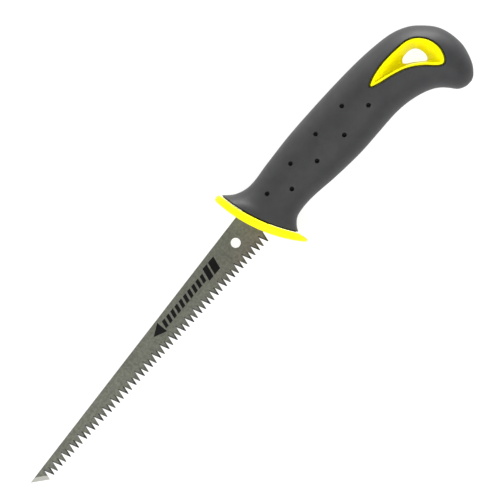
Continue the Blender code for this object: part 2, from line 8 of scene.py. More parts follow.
# %% Load the frame
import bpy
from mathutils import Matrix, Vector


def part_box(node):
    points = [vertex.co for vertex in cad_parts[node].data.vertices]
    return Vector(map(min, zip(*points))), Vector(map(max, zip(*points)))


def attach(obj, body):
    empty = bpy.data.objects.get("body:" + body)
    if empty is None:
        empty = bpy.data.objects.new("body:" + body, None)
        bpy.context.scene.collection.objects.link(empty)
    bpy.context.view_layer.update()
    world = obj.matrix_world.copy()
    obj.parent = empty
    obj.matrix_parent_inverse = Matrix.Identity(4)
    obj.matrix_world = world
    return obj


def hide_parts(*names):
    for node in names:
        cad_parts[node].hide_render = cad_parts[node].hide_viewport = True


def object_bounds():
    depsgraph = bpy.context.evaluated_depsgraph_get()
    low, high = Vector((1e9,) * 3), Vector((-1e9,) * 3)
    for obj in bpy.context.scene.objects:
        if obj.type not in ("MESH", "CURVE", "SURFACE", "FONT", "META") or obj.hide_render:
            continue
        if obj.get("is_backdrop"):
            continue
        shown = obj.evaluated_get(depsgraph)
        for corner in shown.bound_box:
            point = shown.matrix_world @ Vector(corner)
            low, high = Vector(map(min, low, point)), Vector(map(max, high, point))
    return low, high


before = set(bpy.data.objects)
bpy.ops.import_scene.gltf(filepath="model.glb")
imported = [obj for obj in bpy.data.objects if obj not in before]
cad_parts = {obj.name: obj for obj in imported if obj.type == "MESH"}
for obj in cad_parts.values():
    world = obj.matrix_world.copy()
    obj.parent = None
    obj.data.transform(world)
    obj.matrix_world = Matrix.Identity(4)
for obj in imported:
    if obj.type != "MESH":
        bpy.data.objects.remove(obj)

# %% [markdown]
# The made pieces must fill the same box as the model, so the box is kept before anything changes.
# All numbers below are in millimetres unless they belong to the camera, the lights or a material,
# which use Blender's metres.

# %% Keep the model's box
cad_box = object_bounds()
print("model box, low corner:", [round(value, 4) for value in cad_box[0]])
print("model box, high corner:", [round(value, 4) for value in cad_box[1]])

# %% Tools
import math

import bmesh
import bpy
from mathutils import Matrix, Vector
from mathutils.bvhtree import BVHTree

# %% [markdown]
# ## Where the drawing lies
# The saw's drawing is in millimetres: x runs from the point to the butt, y from the teeth to the
# spine, and z = 0 is the middle of the blade. One number could move it into place, but a number
# goes stale when the model changes. The front tang pin has a known place on the drawing, so the
# middle of that pin in the loaded model says where the whole drawing lies.

# %% The drawing's place
MM = 0.001
FRONT_PIN_ON_DRAWING = Vector((23.4, 2.0, 0.0))
pin_low, pin_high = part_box("tang_pin_front")
drawing_origin = (pin_low + pin_high) / 2 - FRONT_PIN_ON_DRAWING * MM
to_place = Matrix.Translation(drawing_origin) @ Matrix.Scale(MM, 4)
print("the drawing's origin:", [round(value, 5) for value in drawing_origin])

# %% [markdown]
# ## The studio
# The saw lies flat on a pale floor under a camera that looks straight down. The camera is turned
# about its own axis so that the blade runs down to the lower left. It stands two metres away with a
# long lens, because a near camera would make the thick handle look bigger than the thin blade.

# %% Camera
VIEW_MIDDLE = Vector((0.00549, 0.00015))
VIEW_WIDTH = 0.2245
CAMERA_HEIGHT = 2.0
CAMERA_TURN = math.radians(-49.92)
blade_height = drawing_origin.z
camera = bpy.data.objects.new("camera", bpy.data.cameras.new("camera"))
camera.location = (*VIEW_MIDDLE, blade_height + CAMERA_HEIGHT)
camera.rotation_euler = (0.0, 0.0, CAMERA_TURN)
camera.data.lens = camera.data.sensor_width * CAMERA_HEIGHT / VIEW_WIDTH
bpy.context.scene.collection.objects.link(camera)
bpy.context.scene.camera = camera
print("lens:", round(camera.data.lens, 1), "mm")

# %% [markdown]
# A large soft light above the saw gives the even look of a light tent. A long narrow light beyond
# the butt draws the pale band along the handle's outer edge, and a small one fills the far side.


# %% Lights
def add_light(name, place, aim, size, power):
    lamp = bpy.data.lights.new(name, "AREA")
    lamp.shape = "RECTANGLE"
    lamp.size, lamp.size_y = size
    lamp.energy = power
    light = bpy.data.objects.new(name, lamp)
    light.location = place
    light.rotation_euler = (Vector(aim) - Vector(place)).to_track_quat("-Z", "Y").to_euler()
    bpy.context.scene.collection.objects.link(light)


saw_middle = (cad_box[0] + cad_box[1]) / 2
add_light("overhead", (-0.25, -0.35, 0.9), saw_middle, (0.9, 0.9), 6.0)
add_light("butt_strip", (0.58, 0.36, 0.12), (0.12, 0.0, 0.02), (0.36, 0.1), 5.0)
add_light("point_fill", (-0.6, 0.45, 0.5), (-0.1, 0.0, 0.0), (0.5, 0.4), 1.2)

# %% [markdown]
# ## Helpers for node graphs
# A material in Blender is a graph of nodes, and so is the sky. A graph can be drawn by hand in the
# editor, but in a script the same few steps come back again and again. These small helpers make a
# node, set its values and join its sockets.


# %% Helpers for node graphs
def add_node(graph, kind, **settings):
    node = graph.nodes.new("ShaderNode" + kind)
    for name, value in settings.items():
        setattr(node, name, value)
    return node


def set_inputs(node, **values):
    for name, value in values.items():
        node.inputs[name.replace("_", " ")].default_value = value


def math_node(graph, operation, *terms, clamp=False):
    """One step of arithmetic; each term is a number or the socket that gives it."""
    node = add_node(graph, "Math", operation=operation, use_clamp=clamp)
    for socket, term in zip(node.inputs, terms):
        if isinstance(term, (int, float)):
            socket.default_value = term
        else:
            graph.links.new(term, socket)
    return node.outputs[0]


def noise(graph, vector, scale, detail=2.0, roughness=0.5, distortion=0.0):
    """Soft noise over the coordinates; the scale is a number or the socket that gives it."""
    node = add_node(graph, "TexNoise")
    set_inputs(node, Detail=detail, Roughness=roughness, Distortion=distortion)
    if isinstance(scale, float):
        node.inputs["Scale"].default_value = scale
    else:
        graph.links.new(scale, node.inputs["Scale"])
    graph.links.new(vector, node.inputs["Vector"])
    return node.outputs["Fac"]


def stretched(graph, vector, scale=(1.0, 1.0, 1.0), angle=0.0):
    """The same coordinates squeezed or turned about z, so that a pattern runs one way."""
    node = add_node(graph, "Mapping")
    node.inputs["Scale"].default_value = scale
    node.inputs["Rotation"].default_value = (0.0, 0.0, angle)
    graph.links.new(vector, node.inputs["Vector"])
    return node.outputs["Vector"]


def between(graph, value, low, high, to_low=0.0, to_high=1.0):
    """Spreads a value that runs from low to high over another range."""
    node = add_node(graph, "MapRange")
    set_inputs(node, From_Min=low, From_Max=high, To_Min=to_low, To_Max=to_high)
    graph.links.new(value, node.inputs["Value"])
    return node.outputs["Result"]


def blend_colours(graph, mask, first, second):
    """The first colour where the mask is 0 and the second where it is 1."""
    node = add_node(graph, "Mix", data_type="RGBA")
    graph.links.new(mask, node.inputs["Factor"])
    for socket, colour in zip([s for s in node.inputs if s.type == "RGBA"], (first, second)):
        if isinstance(colour, tuple):
            socket.default_value = (*colour, 1.0)
        else:
            graph.links.new(colour, socket)
    return next(socket for socket in node.outputs if socket.type == "RGBA")


print("helpers for node graphs are ready")

# %% [markdown]
# ## The sky
# Flat steel is a dull mirror: seen from above, the blade shows what is straight overhead. A white
# sky would wash it out. This sky is dim overhead and white round the horizon, so the flats stay
# dark and every edge that turns away catches light.

# %% Sky and colour handling
OVERHEAD_SKY, HORIZON_SKY = 0.3, 1.0
LOW_SKY, HIGH_SKY = 0.2, 0.9
world = bpy.data.worlds.new("studio")
world.use_nodes = True
sky = world.node_tree
direction = add_node(sky, "SeparateXYZ")
sky.links.new(add_node(sky, "TexCoord").outputs["Generated"], direction.inputs["Vector"])
height = direction.outputs["Z"]
strength = between(sky, height, LOW_SKY, HIGH_SKY, HORIZON_SKY, OVERHEAD_SKY)
background = sky.nodes["Background"]
background.inputs["Color"].default_value = (1.0, 1.0, 1.0, 1.0)
sky.links.new(strength, background.inputs["Strength"])
bpy.context.scene.world = world
bpy.context.scene.view_settings.view_transform = "Standard"
print("sky: from", HORIZON_SKY, "at the horizon to", OVERHEAD_SKY, "overhead")

# %% [markdown]
# ## Effects that several materials share
# When two finishes need the same effect, its nodes could be copied from one to the other. Here the
# effect is made once as a node group with named sockets, and each material sets its own sizes.


# %% A node group's frame
def new_group(name, outputs, **sizes):
    """An empty node group that takes coordinates and sizes, and puts out plain values."""
    graph = bpy.data.node_groups.new(name, "ShaderNodeTree")
    graph.interface.new_socket(name="Vector", in_out="INPUT", socket_type="NodeSocketVector")
    for label, size in sizes.items():
        label = label.replace("_", " ")
        socket = graph.interface.new_socket(
            name=label, in_out="INPUT", socket_type="NodeSocketFloat"
        )
        socket.default_value = size
    for label in outputs:
        graph.interface.new_socket(name=label, in_out="OUTPUT", socket_type="NodeSocketFloat")
    source = graph.nodes.new("NodeGroupInput")
    sink = graph.nodes.new("NodeGroupOutput")
    return graph, source.outputs, sink.inputs


def sized_noise(graph, source, label, detail, roughness, distortion=0.0):
    """Noise in a group whose blobs are as large as the group's input of that name."""
    scale = math_node(graph, "DIVIDE", 1.0, source[label])
    return noise(graph, source["Vector"], scale, detail, roughness, distortion)


print("helpers for groups are ready")

# %% [markdown]
# ### Moulded grain
# A plastic moulding copies the surface of its mould, which is spark-eroded or blasted so that the
# plastic isn't mirror-smooth. Up close it is a fine grain, and at arm's length it is a faint
# unevenness in tone. Two sizes of noise give both.

# %% The grain group
grain_group, source, sink = new_group(
    "moulded_grain", ["Height", "Patches"], Grain_Size=0.00025, Patch_Size=0.006
)
fine = sized_noise(grain_group, source, "Grain Size", 3.0, 0.6)
patches = sized_noise(grain_group, source, "Patch Size", 4.0, 0.55)
grain_group.links.new(fine, sink["Height"])
grain_group.links.new(between(grain_group, patches, 0.3, 0.7), sink["Patches"])
print("group:", grain_group.name)

# %% [markdown]
# ### Handling marks
# Anything that has been packed and picked up carries faint smudges. They hardly change the colour,
# but they break up the gloss. They could be painted by hand, but soft noise that is cut off at a
# threshold gives them on every piece at once.

# %% The handling group
handling_group, source, sink = new_group("handling_marks", ["Smudges"], Smudge_Size=0.015)
smudge = sized_noise(handling_group, source, "Smudge Size", 5.0, 0.6, distortion=0.4)
handling_group.links.new(between(handling_group, smudge, 0.48, 0.72), sink["Smudges"])
print("group:", handling_group.name)

# %% [markdown]
# ### Ground lines
# A grinding wheel leaves fine parallel lines across the face that it cuts. The sheet is ground and
# polished along its length, and the teeth are ground across. One group gives such lines in any
# direction: noise that is squeezed along one axis and turned.

# %% The ground lines group
ground_group, source, sink = new_group("ground_lines", ["Fine", "Broad"])
FINE_LINES = (150.0, 5200.0, 5200.0)
BROAD_LINES = (25.0, 420.0, 420.0)
for label, squeeze in (("Fine", FINE_LINES), ("Broad", BROAD_LINES)):
    lines = noise(ground_group, stretched(ground_group, source["Vector"], squeeze), 1.0, 3.0)
    ground_group.links.new(between(ground_group, lines, 0.3, 0.7), sink[label])
print("group:", ground_group.name)

# %% [markdown]
# ## Materials
# Each material starts from the same frame: a Principled shader, the object's own coordinates and a
# Bump node. Values that are the same all over are set on the shader itself.


# %% A material's frame
def new_material(name, **fixed):
    """A material with a Principled shader, and the object coordinates for its patterns."""
    surface = bpy.data.materials.new(name)
    surface.use_nodes = True
    graph = surface.node_tree
    shader = graph.nodes["Principled BSDF"]
    set_inputs(shader, **fixed)
    where = add_node(graph, "TexCoord").outputs["Object"]
    return surface, graph, shader, where


def use_group(graph, group, vector, **values):
    node = add_node(graph, "Group", node_tree=group)
    graph.links.new(vector, node.inputs["Vector"])
    set_inputs(node, **values)
    return node.outputs


def add_bump(graph, shader, height, distance, strength=1.0):
    bump = add_node(graph, "Bump")
    set_inputs(bump, Strength=strength, Distance=distance)
    graph.links.new(height, bump.inputs["Height"])
    graph.links.new(bump.outputs["Normal"], shader.inputs["Normal"])


def drive(graph, value, shader, name):
    graph.links.new(value, shader.inputs[name])


print("helpers for materials are ready")

# %% [markdown]
# ### Soft grip
# The grip is a dark grey elastomer with a dull, slightly leathery surface. Its grey is a touch
# warmer towards the spine and cooler towards the fingers, so the colour follows y across the
# handle. The grain goes to the Bump node and the patches to colour and roughness.

# %% Grip material
grip_rubber, graph, shader, where = new_material(
    "grip_rubber", IOR=1.5, Specular_IOR_Level=0.5
)
grain = use_group(graph, grain_group, where, Grain_Size=0.0003, Patch_Size=0.005)
marks = use_group(graph, handling_group, where, Smudge_Size=0.018)
axes = add_node(graph, "SeparateXYZ")
graph.links.new(where, axes.inputs["Vector"])
COOL_GREY = (0.0195, 0.020, 0.0225)
WARM_GREY = (0.0225, 0.0225, 0.0225)
PALE_GREY = (0.033, 0.033, 0.034)
towards_spine = between(graph, axes.outputs["Y"], -0.012, 0.022)
grey = blend_colours(graph, towards_spine, COOL_GREY, WARM_GREY)
pale = math_node(graph, "MULTIPLY", grain["Patches"], 0.6)
drive(graph, blend_colours(graph, pale, grey, PALE_GREY), shader, "Base Color")
dull = between(graph, marks["Smudges"], 0.0, 1.0, 0.56, 0.47)
drive(graph, dull, shader, "Roughness")
add_bump(graph, shader, grain["Height"], 0.00006, 0.7)
print("material:", grip_rubber.name)

# %% [markdown]
# The dimples, the lips of the hang hole and the narrow grooves beside the yellow pieces sit in
# shadow, so the same elastomer is painted nearly black there: painted shade for these recesses.

# %% Recess material
painted_shade_rubber, graph, shader, where = new_material(
    "painted_shade_rubber", IOR=1.5, Specular_IOR_Level=0.2
)
grain = use_group(graph, grain_group, where, Grain_Size=0.0002, Patch_Size=0.001)
# Near-black painted shade for the recesses, with a faint uneven tone.
painted_recess_shade = blend_colours(graph, grain["Patches"], (0.006, 0.006, 0.007), (0.014, 0.014, 0.014))
drive(graph, painted_recess_shade, shader, "Base Color")
drive(graph, between(graph, grain["Height"], 0.3, 0.7, 0.6, 0.8), shader, "Roughness")
print("material:", painted_shade_rubber.name)

# %% [markdown]
# ### Yellow plastic
# The guard and the hang hole's liner are one smooth, strongly coloured polypropylene. It is
# glossier than the grip. Light scatters a little inside it, which keeps its shadows warm and
# yellow, so a little subsurface is set on the shader.

# %% Yellow plastic material
yellow_plastic, graph, shader, where = new_material(
    "yellow_plastic", IOR=1.49, Specular_IOR_Level=0.15, Subsurface_Weight=0.25,
    Subsurface_Radius=(0.0022, 0.0014, 0.0003), Subsurface_Scale=1.0,
)
grain = use_group(graph, grain_group, where, Grain_Size=0.0006, Patch_Size=0.009)
marks = use_group(graph, handling_group, where, Smudge_Size=0.012)
YELLOW = (1.0, 0.94, 0.002)
DEEP_YELLOW = (0.98, 0.87, 0.002)
tone = math_node(graph, "MULTIPLY", grain["Patches"], 0.5)
drive(graph, blend_colours(graph, tone, YELLOW, DEEP_YELLOW), shader, "Base Color")
drive(graph, between(graph, marks["Smudges"], 0.0, 1.0, 0.34, 0.42), shader, "Roughness")
add_bump(graph, shader, grain["Height"], 0.00002, 0.5)
print("material:", yellow_plastic.name)

# %% [markdown]
# ### Blade steel
# The blade is a grey-green lacquered sheet, and a black mark is printed on its left face. The mark
# here is a plain pattern: a row of slanted bars between an arrowhead and a block. It is made from
# arithmetic on the coordinates, because a pattern of straight lines then stays sharp at any
# distance. Each shape is a product of masks that are 1 inside and 0 outside.

# %% The print on the blade
PRINT_LEFT, PRINT_RIGHT = -64.0, -20.0
PRINT_MIDDLE = 2.7
BAR_COUNT = 10
BAR_GAP = 1.1
BAR_HALF_HEIGHT = 1.75
BAR_SLANT = 0.35
ARROW_LENGTH = 6.0
BLOCK_LENGTH = 7.5
BLOCK_HALF_HEIGHT = 2.9
BLOCK_GAP = (0.50, 0.62)
PRINT_SPACE = 1.2


def millimetres_on_drawing(graph, where):
    """The object coordinates as millimetres along the axes of the saw's drawing."""
    axes = add_node(graph, "SeparateXYZ")
    graph.links.new(where, axes.inputs["Vector"])
    found = []
    for axis, start in zip("XYZ", drawing_origin):
        metres = math_node(graph, "SUBTRACT", axes.outputs[axis], start)
        found.append(math_node(graph, "DIVIDE", metres, MM))
    return found


def printed_mark(graph, where):
    """1 where the printed pattern covers the left face of the blade, and 0 elsewhere."""

    def both(first, second):
        return math_node(graph, "MULTIPLY", first, second)

    def below(value, limit):
        return math_node(graph, "LESS_THAN", value, limit)

    def inside(value, low, high):
        return both(math_node(graph, "GREATER_THAN", value, low), below(value, high))

    x, y, z = millimetres_on_drawing(graph, where)
    up = math_node(graph, "SUBTRACT", y, PRINT_MIDDLE)
    off_middle = math_node(graph, "ABSOLUTE", up)
    leaning = math_node(graph, "SUBTRACT", x, both(up, BAR_SLANT))
    arrow_end, block_start = PRINT_LEFT + ARROW_LENGTH, PRINT_RIGHT - BLOCK_LENGTH
    bars_left, bars_right = arrow_end + PRINT_SPACE, block_start - PRINT_SPACE
    pitch = (bars_right - bars_left + BAR_GAP) / BAR_COUNT
    from_left = math_node(graph, "SUBTRACT", leaning, bars_left)
    bars = below(math_node(graph, "MODULO", from_left, pitch), pitch - BAR_GAP)
    bars = both(bars, inside(leaning, bars_left, bars_right))
    bars = both(bars, below(off_middle, BAR_HALF_HEIGHT))
    from_tip = math_node(graph, "SUBTRACT", x, PRINT_LEFT)
    arrow = below(off_middle, both(from_tip, BLOCK_HALF_HEIGHT / ARROW_LENGTH))
    arrow = both(arrow, inside(x, PRINT_LEFT, arrow_end))
    block = inside(leaning, block_start, PRINT_RIGHT)
    block = both(block, below(off_middle, BLOCK_HALF_HEIGHT))
    near, far = (PRINT_RIGHT - BLOCK_LENGTH * share for share in BLOCK_GAP)
    block = math_node(graph, "SUBTRACT", block, inside(leaning, far, near), clamp=True)
    shapes = math_node(graph, "MAXIMUM", math_node(graph, "MAXIMUM", bars, arrow), block)
    return both(shapes, math_node(graph, "GREATER_THAN", z, 0.0))


print("bars from", PRINT_LEFT, "to", PRINT_RIGHT, "mm along the blade")

# %% [markdown]
# The sheet itself is darker and browner near the heel and paler towards the point. Its ground
# lines run along the blade. The teeth are hardened in a flash of current, which leaves them
# darker, so the tone also follows the distance from the line of the tips. A picture could be
# painted for all this, but masks from the coordinates stay sharp at any size. The lacquer is a
# thin clear coat.

# %% Blade sheet material
BLADE_LENGTH = 150.4
BLADE_WIDTH, BLADE_WIDTH_AT_POINT = 17.9, 5.3
BLADE_AXIS = 0.2
BLADE_TAPER = (BLADE_WIDTH - BLADE_WIDTH_AT_POINT) / BLADE_LENGTH
blade_steel, graph, shader, where = new_material(
    "blade_steel", Specular_IOR_Level=0.2, Coat_Roughness=0.3
)
lines = use_group(graph, ground_group, where)
grain = use_group(graph, grain_group, where, Grain_Size=0.0012, Patch_Size=0.007)
marks = use_group(graph, handling_group, where, Smudge_Size=0.02)
x, y, z = millimetres_on_drawing(graph, where)
HEEL_STEEL = (0.184, 0.158, 0.122)
MIDDLE_STEEL = (0.168, 0.173, 0.136)
POINT_STEEL = (0.178, 0.184, 0.147)
DARK_STEEL = (0.085, 0.086, 0.074)
HARDENED_STEEL = (0.050, 0.047, 0.040)
INK = (0.003, 0.003, 0.003)
HEEL_ZONE = (-34.0, -2.0)
LOW_ZONE = (6.0, -6.0)
POINT_ZONE = (-70.0, -145.0)
HARDENED_ZONE = (3.6, 0.6)
low_on_blade = between(graph, y, *LOW_ZONE)
near_heel = math_node(graph, "MULTIPLY", between(graph, x, *HEEL_ZONE), low_on_blade)
near_point = between(graph, x, *POINT_ZONE)
steel = blend_colours(graph, near_point, MIDDLE_STEEL, POINT_STEEL)
steel = blend_colours(graph, near_heel, steel, HEEL_STEEL)
speckle = between(graph, grain["Height"], 0.38, 0.62, 0.0, 0.46)
streaks = math_node(graph, "MULTIPLY", lines["Fine"], 0.2)
darker = math_node(graph, "ADD", speckle, streaks)
darker = math_node(graph, "ADD", darker, math_node(graph, "MULTIPLY", grain["Patches"], 0.26))
steel = blend_colours(graph, darker, steel, DARK_STEEL)
tips_at_heel = BLADE_AXIS - BLADE_WIDTH / 2
line_of_tips = math_node(graph, "MULTIPLY_ADD", x, -BLADE_TAPER / 2, tips_at_heel)
above_tips = math_node(graph, "SUBTRACT", y, line_of_tips)
hardened = between(graph, above_tips, *HARDENED_ZONE, 0.0, 0.75)
steel = blend_colours(graph, hardened, steel, HARDENED_STEEL)
ink = printed_mark(graph, where)
drive(graph, blend_colours(graph, ink, steel, INK), shader, "Base Color")
drive(graph, math_node(graph, "SUBTRACT", 0.9, ink, clamp=True), shader, "Metallic")
bare = math_node(graph, "SUBTRACT", 1.0, ink)
drive(graph, math_node(graph, "MULTIPLY", bare, 0.12), shader, "Coat Weight")
rough = between(graph, lines["Broad"], 0.0, 1.0, 0.40, 0.52)
rough = math_node(graph, "SUBTRACT", rough, math_node(graph, "MULTIPLY", marks["Smudges"], 0.06))
rough = math_node(graph, "ADD", rough, math_node(graph, "MULTIPLY", ink, 0.35))
drive(graph, rough, shader, "Roughness")
add_bump(graph, shader, lines["Fine"], 0.000006, 0.5)
print("material:", blade_steel.name)

# %% [markdown]
# The teeth and the point are ground after the sheet is lacquered, so they show bare steel with the
# wheel's lines across the blade.

# %% Ground steel materials
LINES_ACROSS = math.radians(78)


def ground_steel(name, colour, shade, roughness):
    surface, graph, shader, where = new_material(name, Metallic=1.0)
    lines = use_group(graph, ground_group, stretched(graph, where, angle=LINES_ACROSS))
    tone = math_node(graph, "MULTIPLY", lines["Fine"], 0.6)
    drive(graph, blend_colours(graph, tone, colour, shade), shader, "Base Color")
    rough = between(graph, lines["Broad"], 0.0, 1.0, roughness, roughness + 0.1)
    drive(graph, rough, shader, "Roughness")
    add_bump(graph, shader, lines["Fine"], 0.000008, 0.6)
    return surface


tooth_steel = ground_steel("tooth_steel", (0.030, 0.028, 0.024), (0.016, 0.015, 0.013), 0.35)
point_steel = ground_steel("point_steel", (0.30, 0.30, 0.275), (0.17, 0.17, 0.155), 0.32)
pin_steel = ground_steel("pin_steel", (0.55, 0.55, 0.55), (0.35, 0.35, 0.35), 0.3)
print("materials:", tooth_steel.name, point_steel.name, pin_steel.name)

# %% [markdown]
# ### Core plastic
# The two core halves are hidden. They are the same polypropylene without polish, so they get a
# duller yellow with more grain.

# %% Core material
core_plastic, graph, shader, where = new_material("core_plastic", IOR=1.49)
grain = use_group(graph, grain_group, where, Grain_Size=0.0008, Patch_Size=0.012)
core_colour = blend_colours(graph, grain["Patches"], (0.80, 0.70, 0.01), (0.70, 0.58, 0.01))
drive(graph, core_colour, shader, "Base Color")
drive(graph, between(graph, grain["Height"], 0.3, 0.7, 0.5, 0.65), shader, "Roughness")
add_bump(graph, shader, grain["Height"], 0.00005, 0.5)
print("material:", core_plastic.name)

# %% [markdown]
# ## Helpers for shapes
# Most pieces here are a sheet wrapped round a form: the handle's skin, the guard's rim, the liner's
# funnel. create_grid makes the flat sheet, each of its points is moved to its place on the form,
# and remove_doubles closes the seam where the sheet meets itself.


# %% Helpers for shapes
SEAM_GAP = 0.0005


def wrapped_sheet(shape, rows, columns, place):
    """Adds a sheet whose points go where place(along, around) says; both run from 0 to 1."""
    sheet = bmesh.ops.create_grid(shape, x_segments=rows, y_segments=columns, size=1.0)["verts"]
    for vert in sheet:
        vert.co = place((vert.co.x + 1) / 2, (vert.co.y + 1) / 2)
    return sheet


def close_seams(shape, gap=SEAM_GAP):
    bmesh.ops.remove_doubles(shape, verts=shape.verts, dist=gap)
    bmesh.ops.recalc_face_normals(shape, faces=shape.faces)


def prism(outline, low, high):
    """A flat outline drawn out from z = low to z = high."""
    shape = bmesh.new()
    face = shape.faces.new([shape.verts.new((x, y, low)) for x, y in outline])
    walls = bmesh.ops.extrude_face_region(shape, geom=[face])
    top = [item for item in walls["geom"] if isinstance(item, bmesh.types.BMVert)]
    bmesh.ops.translate(shape, verts=top, vec=(0.0, 0.0, high - low))
    bmesh.ops.recalc_face_normals(shape, faces=shape.faces)
    return shape


def add_turned(shape, profile, placing, steps):
    """Adds a profile of (radius, height), turned about an upright axis and then placed."""
    earlier = set(shape.verts)
    points = [shape.verts.new((radius, 0.0, height)) for radius, height in profile]
    edges = [shape.edges.new(pair) for pair in zip(points, points[1:])]
    bmesh.ops.spin(
        shape, geom=[*points, *edges], cent=(0.0, 0.0, 0.0), axis=(0.0, 0.0, 1.0),
        angle=math.tau, steps=steps, use_merge=True,
    )
    made = [vert for vert in shape.verts if vert not in earlier]
    bmesh.ops.transform(shape, matrix=placing, verts=made)


def placed_object(name, shape, *materials):
    """Moves a shape from the drawing to its place and makes it an object."""
    bmesh.ops.transform(shape, matrix=to_place, verts=shape.verts)
    mesh = bpy.data.meshes.new(name)
    shape.to_mesh(mesh)
    shape.free()
    for surface in materials:
        mesh.materials.append(surface)
    thing = bpy.data.objects.new(name, mesh)
    bpy.context.scene.collection.objects.link(thing)
    return thing


def add_piece(name, shape, slot, *materials):
    """Makes a shape a piece that rides with the saw."""
    piece = placed_object(name, shape, *materials)
    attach(piece, "root")
    return piece


def carve(piece, shape, operation="DIFFERENCE", surface=None):
    """Cuts a shape out of a piece, or joins it on, and keeps the result as the piece's own mesh.

    The new faces can have a material of their own.
    """
    tool = placed_object("tool", shape, *([surface] if surface else []))
    step = piece.modifiers.new("carve", "BOOLEAN")
    step.operation = operation
    step.object = tool
    step.material_mode = "TRANSFER" if surface else "INDEX"
    depsgraph = bpy.context.evaluated_depsgraph_get()
    carved = bpy.data.meshes.new_from_object(piece.evaluated_get(depsgraph))
    piece.modifiers.clear()
    piece.data = carved
    bpy.data.objects.remove(tool)


def shade(piece, sharp_degrees):
    """Smooth shading, apart from edges that are sharper than the angle."""
    piece.data.shade_smooth()
    piece.data.set_sharp_from_angle(angle=math.radians(sharp_degrees))
    size = [round(value / MM, 1) for value in piece.dimensions]
    print(f"{piece.name}: {len(piece.data.polygons)} faces, {size} mm")


print("helpers for shapes are ready")

# %% [markdown]
# Outlines are drawn with few points, and this curve runs smoothly through them. It is a cubic from
# each point to the next, whose direction at a point comes from the points on either side.


# %% Smooth curves
CURVE_STEPS = 24
SQUARENESS = 2.3


def curve_point(points, closed, place):
    """The curve's point at a place: 2.5 is halfway from point 2 to point 3."""
    count = len(points)
    span = math.floor(place)
    if not closed:
        span = min(span, count - 2)
    t = place - span
    start = points[span % count]
    end = points[(span + 1) % count]
    before = points[(span - 1) % count] if closed or span else start
    after = points[(span + 2) % count] if closed or span + 2 < count else end
    length = (end - start).length
    leaving = (end - before) / ((start - before).length + length) * length
    arriving = (after - start) / ((after - end).length + length) * length
    return (
        (2 * t**3 - 3 * t**2 + 1) * start
        + (t**3 - 2 * t**2 + t) * leaving
        + (3 * t**2 - 2 * t**3) * end
        + (t**3 - t**2) * arriving
    )


def even_loop(drawn, count):
    """So many points, evenly spaced, on the smooth closed curve through the drawn ones."""
    points = [Vector(point) for point in drawn]
    steps = CURVE_STEPS * len(points)
    curve = [curve_point(points, True, step / CURVE_STEPS) for step in range(steps + 1)]
    found = []
    run = 0.0
    spacing = sum((b - a).length for a, b in zip(curve, curve[1:])) / count
    for a, b in zip(curve, curve[1:]):
        length = (b - a).length
        while len(found) < count and len(found) * spacing < run + length:
            found.append(a.lerp(b, (len(found) * spacing - run) / length))
        run += length
    return found


def grown(loop, margin):
    """A closed clockwise outline moved outwards by the margin, or inwards if it is negative."""
    found = []
    for index, point in enumerate(loop):
        arriving = (point - loop[index - 1]).normalized()
        leaving = (loop[(index + 1) % len(loop)] - point).normalized()
        along = (arriving + leaving).normalized()
        found.append(point + Vector((-along.y, along.x)) * margin / along.dot(leaving))
    return found


def squarish(value):
    """Turns a sine or cosine, which draw an oval, into the like of a slightly square one."""
    return math.copysign(abs(value) ** (2 / SQUARENESS), value)


print("an oval's corner reaches", round(squarish(math.sqrt(0.5)), 2), "of the way")

# %% [markdown]
# ## The guard's arc
# The guard is bent to an arc about a centre far behind it, and the front of the grip fits against
# it. Both are easiest to shape flat: height away from the guard's back and run up along it. These
# two functions bend a flat point on to the arc and unbend it.

# %% The arc
ARC_CENTRE = Vector((84.05, 21.4))
BACK_RADIUS = 80.2


def bent(height, run, out):
    angle = run / BACK_RADIUS
    radius = BACK_RADIUS + height
    x = ARC_CENTRE.x - radius * math.cos(angle)
    return Vector((x, ARC_CENTRE.y + radius * math.sin(angle), out))


def unbent(point):
    across = ARC_CENTRE.x - point.x
    up = point.y - ARC_CENTRE.y
    run = BACK_RADIUS * math.atan2(up, across)
    return Vector((math.hypot(across, up) - BACK_RADIUS, run, point.z))


print("bent and unbent:", [round(value, 2) for value in unbent(bent(1.0, -15.0, 0.0))])

# %% [markdown]
# ## The grip
# The grip is a soft skin with a swelling middle, a flare behind the guard and a hooked butt. A
# sculpted handle could be shaped by subdivision, but its outline would then be hard to hold to a
# size. Here it is drawn as cross-sections: a point on the outer edge, a point on the inner edge and
# half the thickness. Smooth curves run through all of them, and each section is a squarish oval.
# The curve swings a hair past the last section, so the points are held to the handle's reach.

# %% The handle's sections
HANDLE_SECTIONS = (
    (0.8, 26.0, 11.0, -22.0, 13.2),
    (4.0, 21.1, 13.8, -17.0, 12.7),
    (9.0, 15.9, 16.2, -13.8, 12.0),
    (16.0, 13.4, 20.0, -11.6, 11.6),
    (28.0, 13.9, 29.0, -11.3, 11.8),
    (44.0, 14.5, 44.0, -13.5, 12.4),
    (60.0, 14.2, 59.0, -15.1, 12.8),
    (76.0, 13.5, 72.0, -15.4, 13.1),
    (90.0, 12.4, 82.0, -15.6, 13.5),
    (101.0, 10.8, 89.0, -16.5, 13.9),
    (109.5, 8.7, 94.5, -18.0, 14.0),
    (116.4, 5.0, 99.0, -19.8, 13.9),
    (121.2, 0.0, 102.5, -21.8, 13.6),
    (124.6, -5.3, 105.0, -24.0, 13.1),
    (126.1, -11.5, 107.0, -26.6, 12.3),
    (125.9, -18.5, 108.3, -28.7, 11.0),
    (124.2, -23.7, 109.3, -30.1, 9.3),
    (121.8, -28.1, 110.9, -31.3, 6.9),
    (118.6, -31.3, 113.0, -32.2, 3.7),
    (116.3, -32.4, 115.0, -32.4, 0.9),
)
HANDLE_REACH = max(row[0] for row in HANDLE_SECTIONS)
SECTION_ROWS = [Vector(row) for row in HANDLE_SECTIONS]
LAST_CORE_SECTION = 14
GRIP_WALL = 2.2
ABOVE_ALL = 40.0


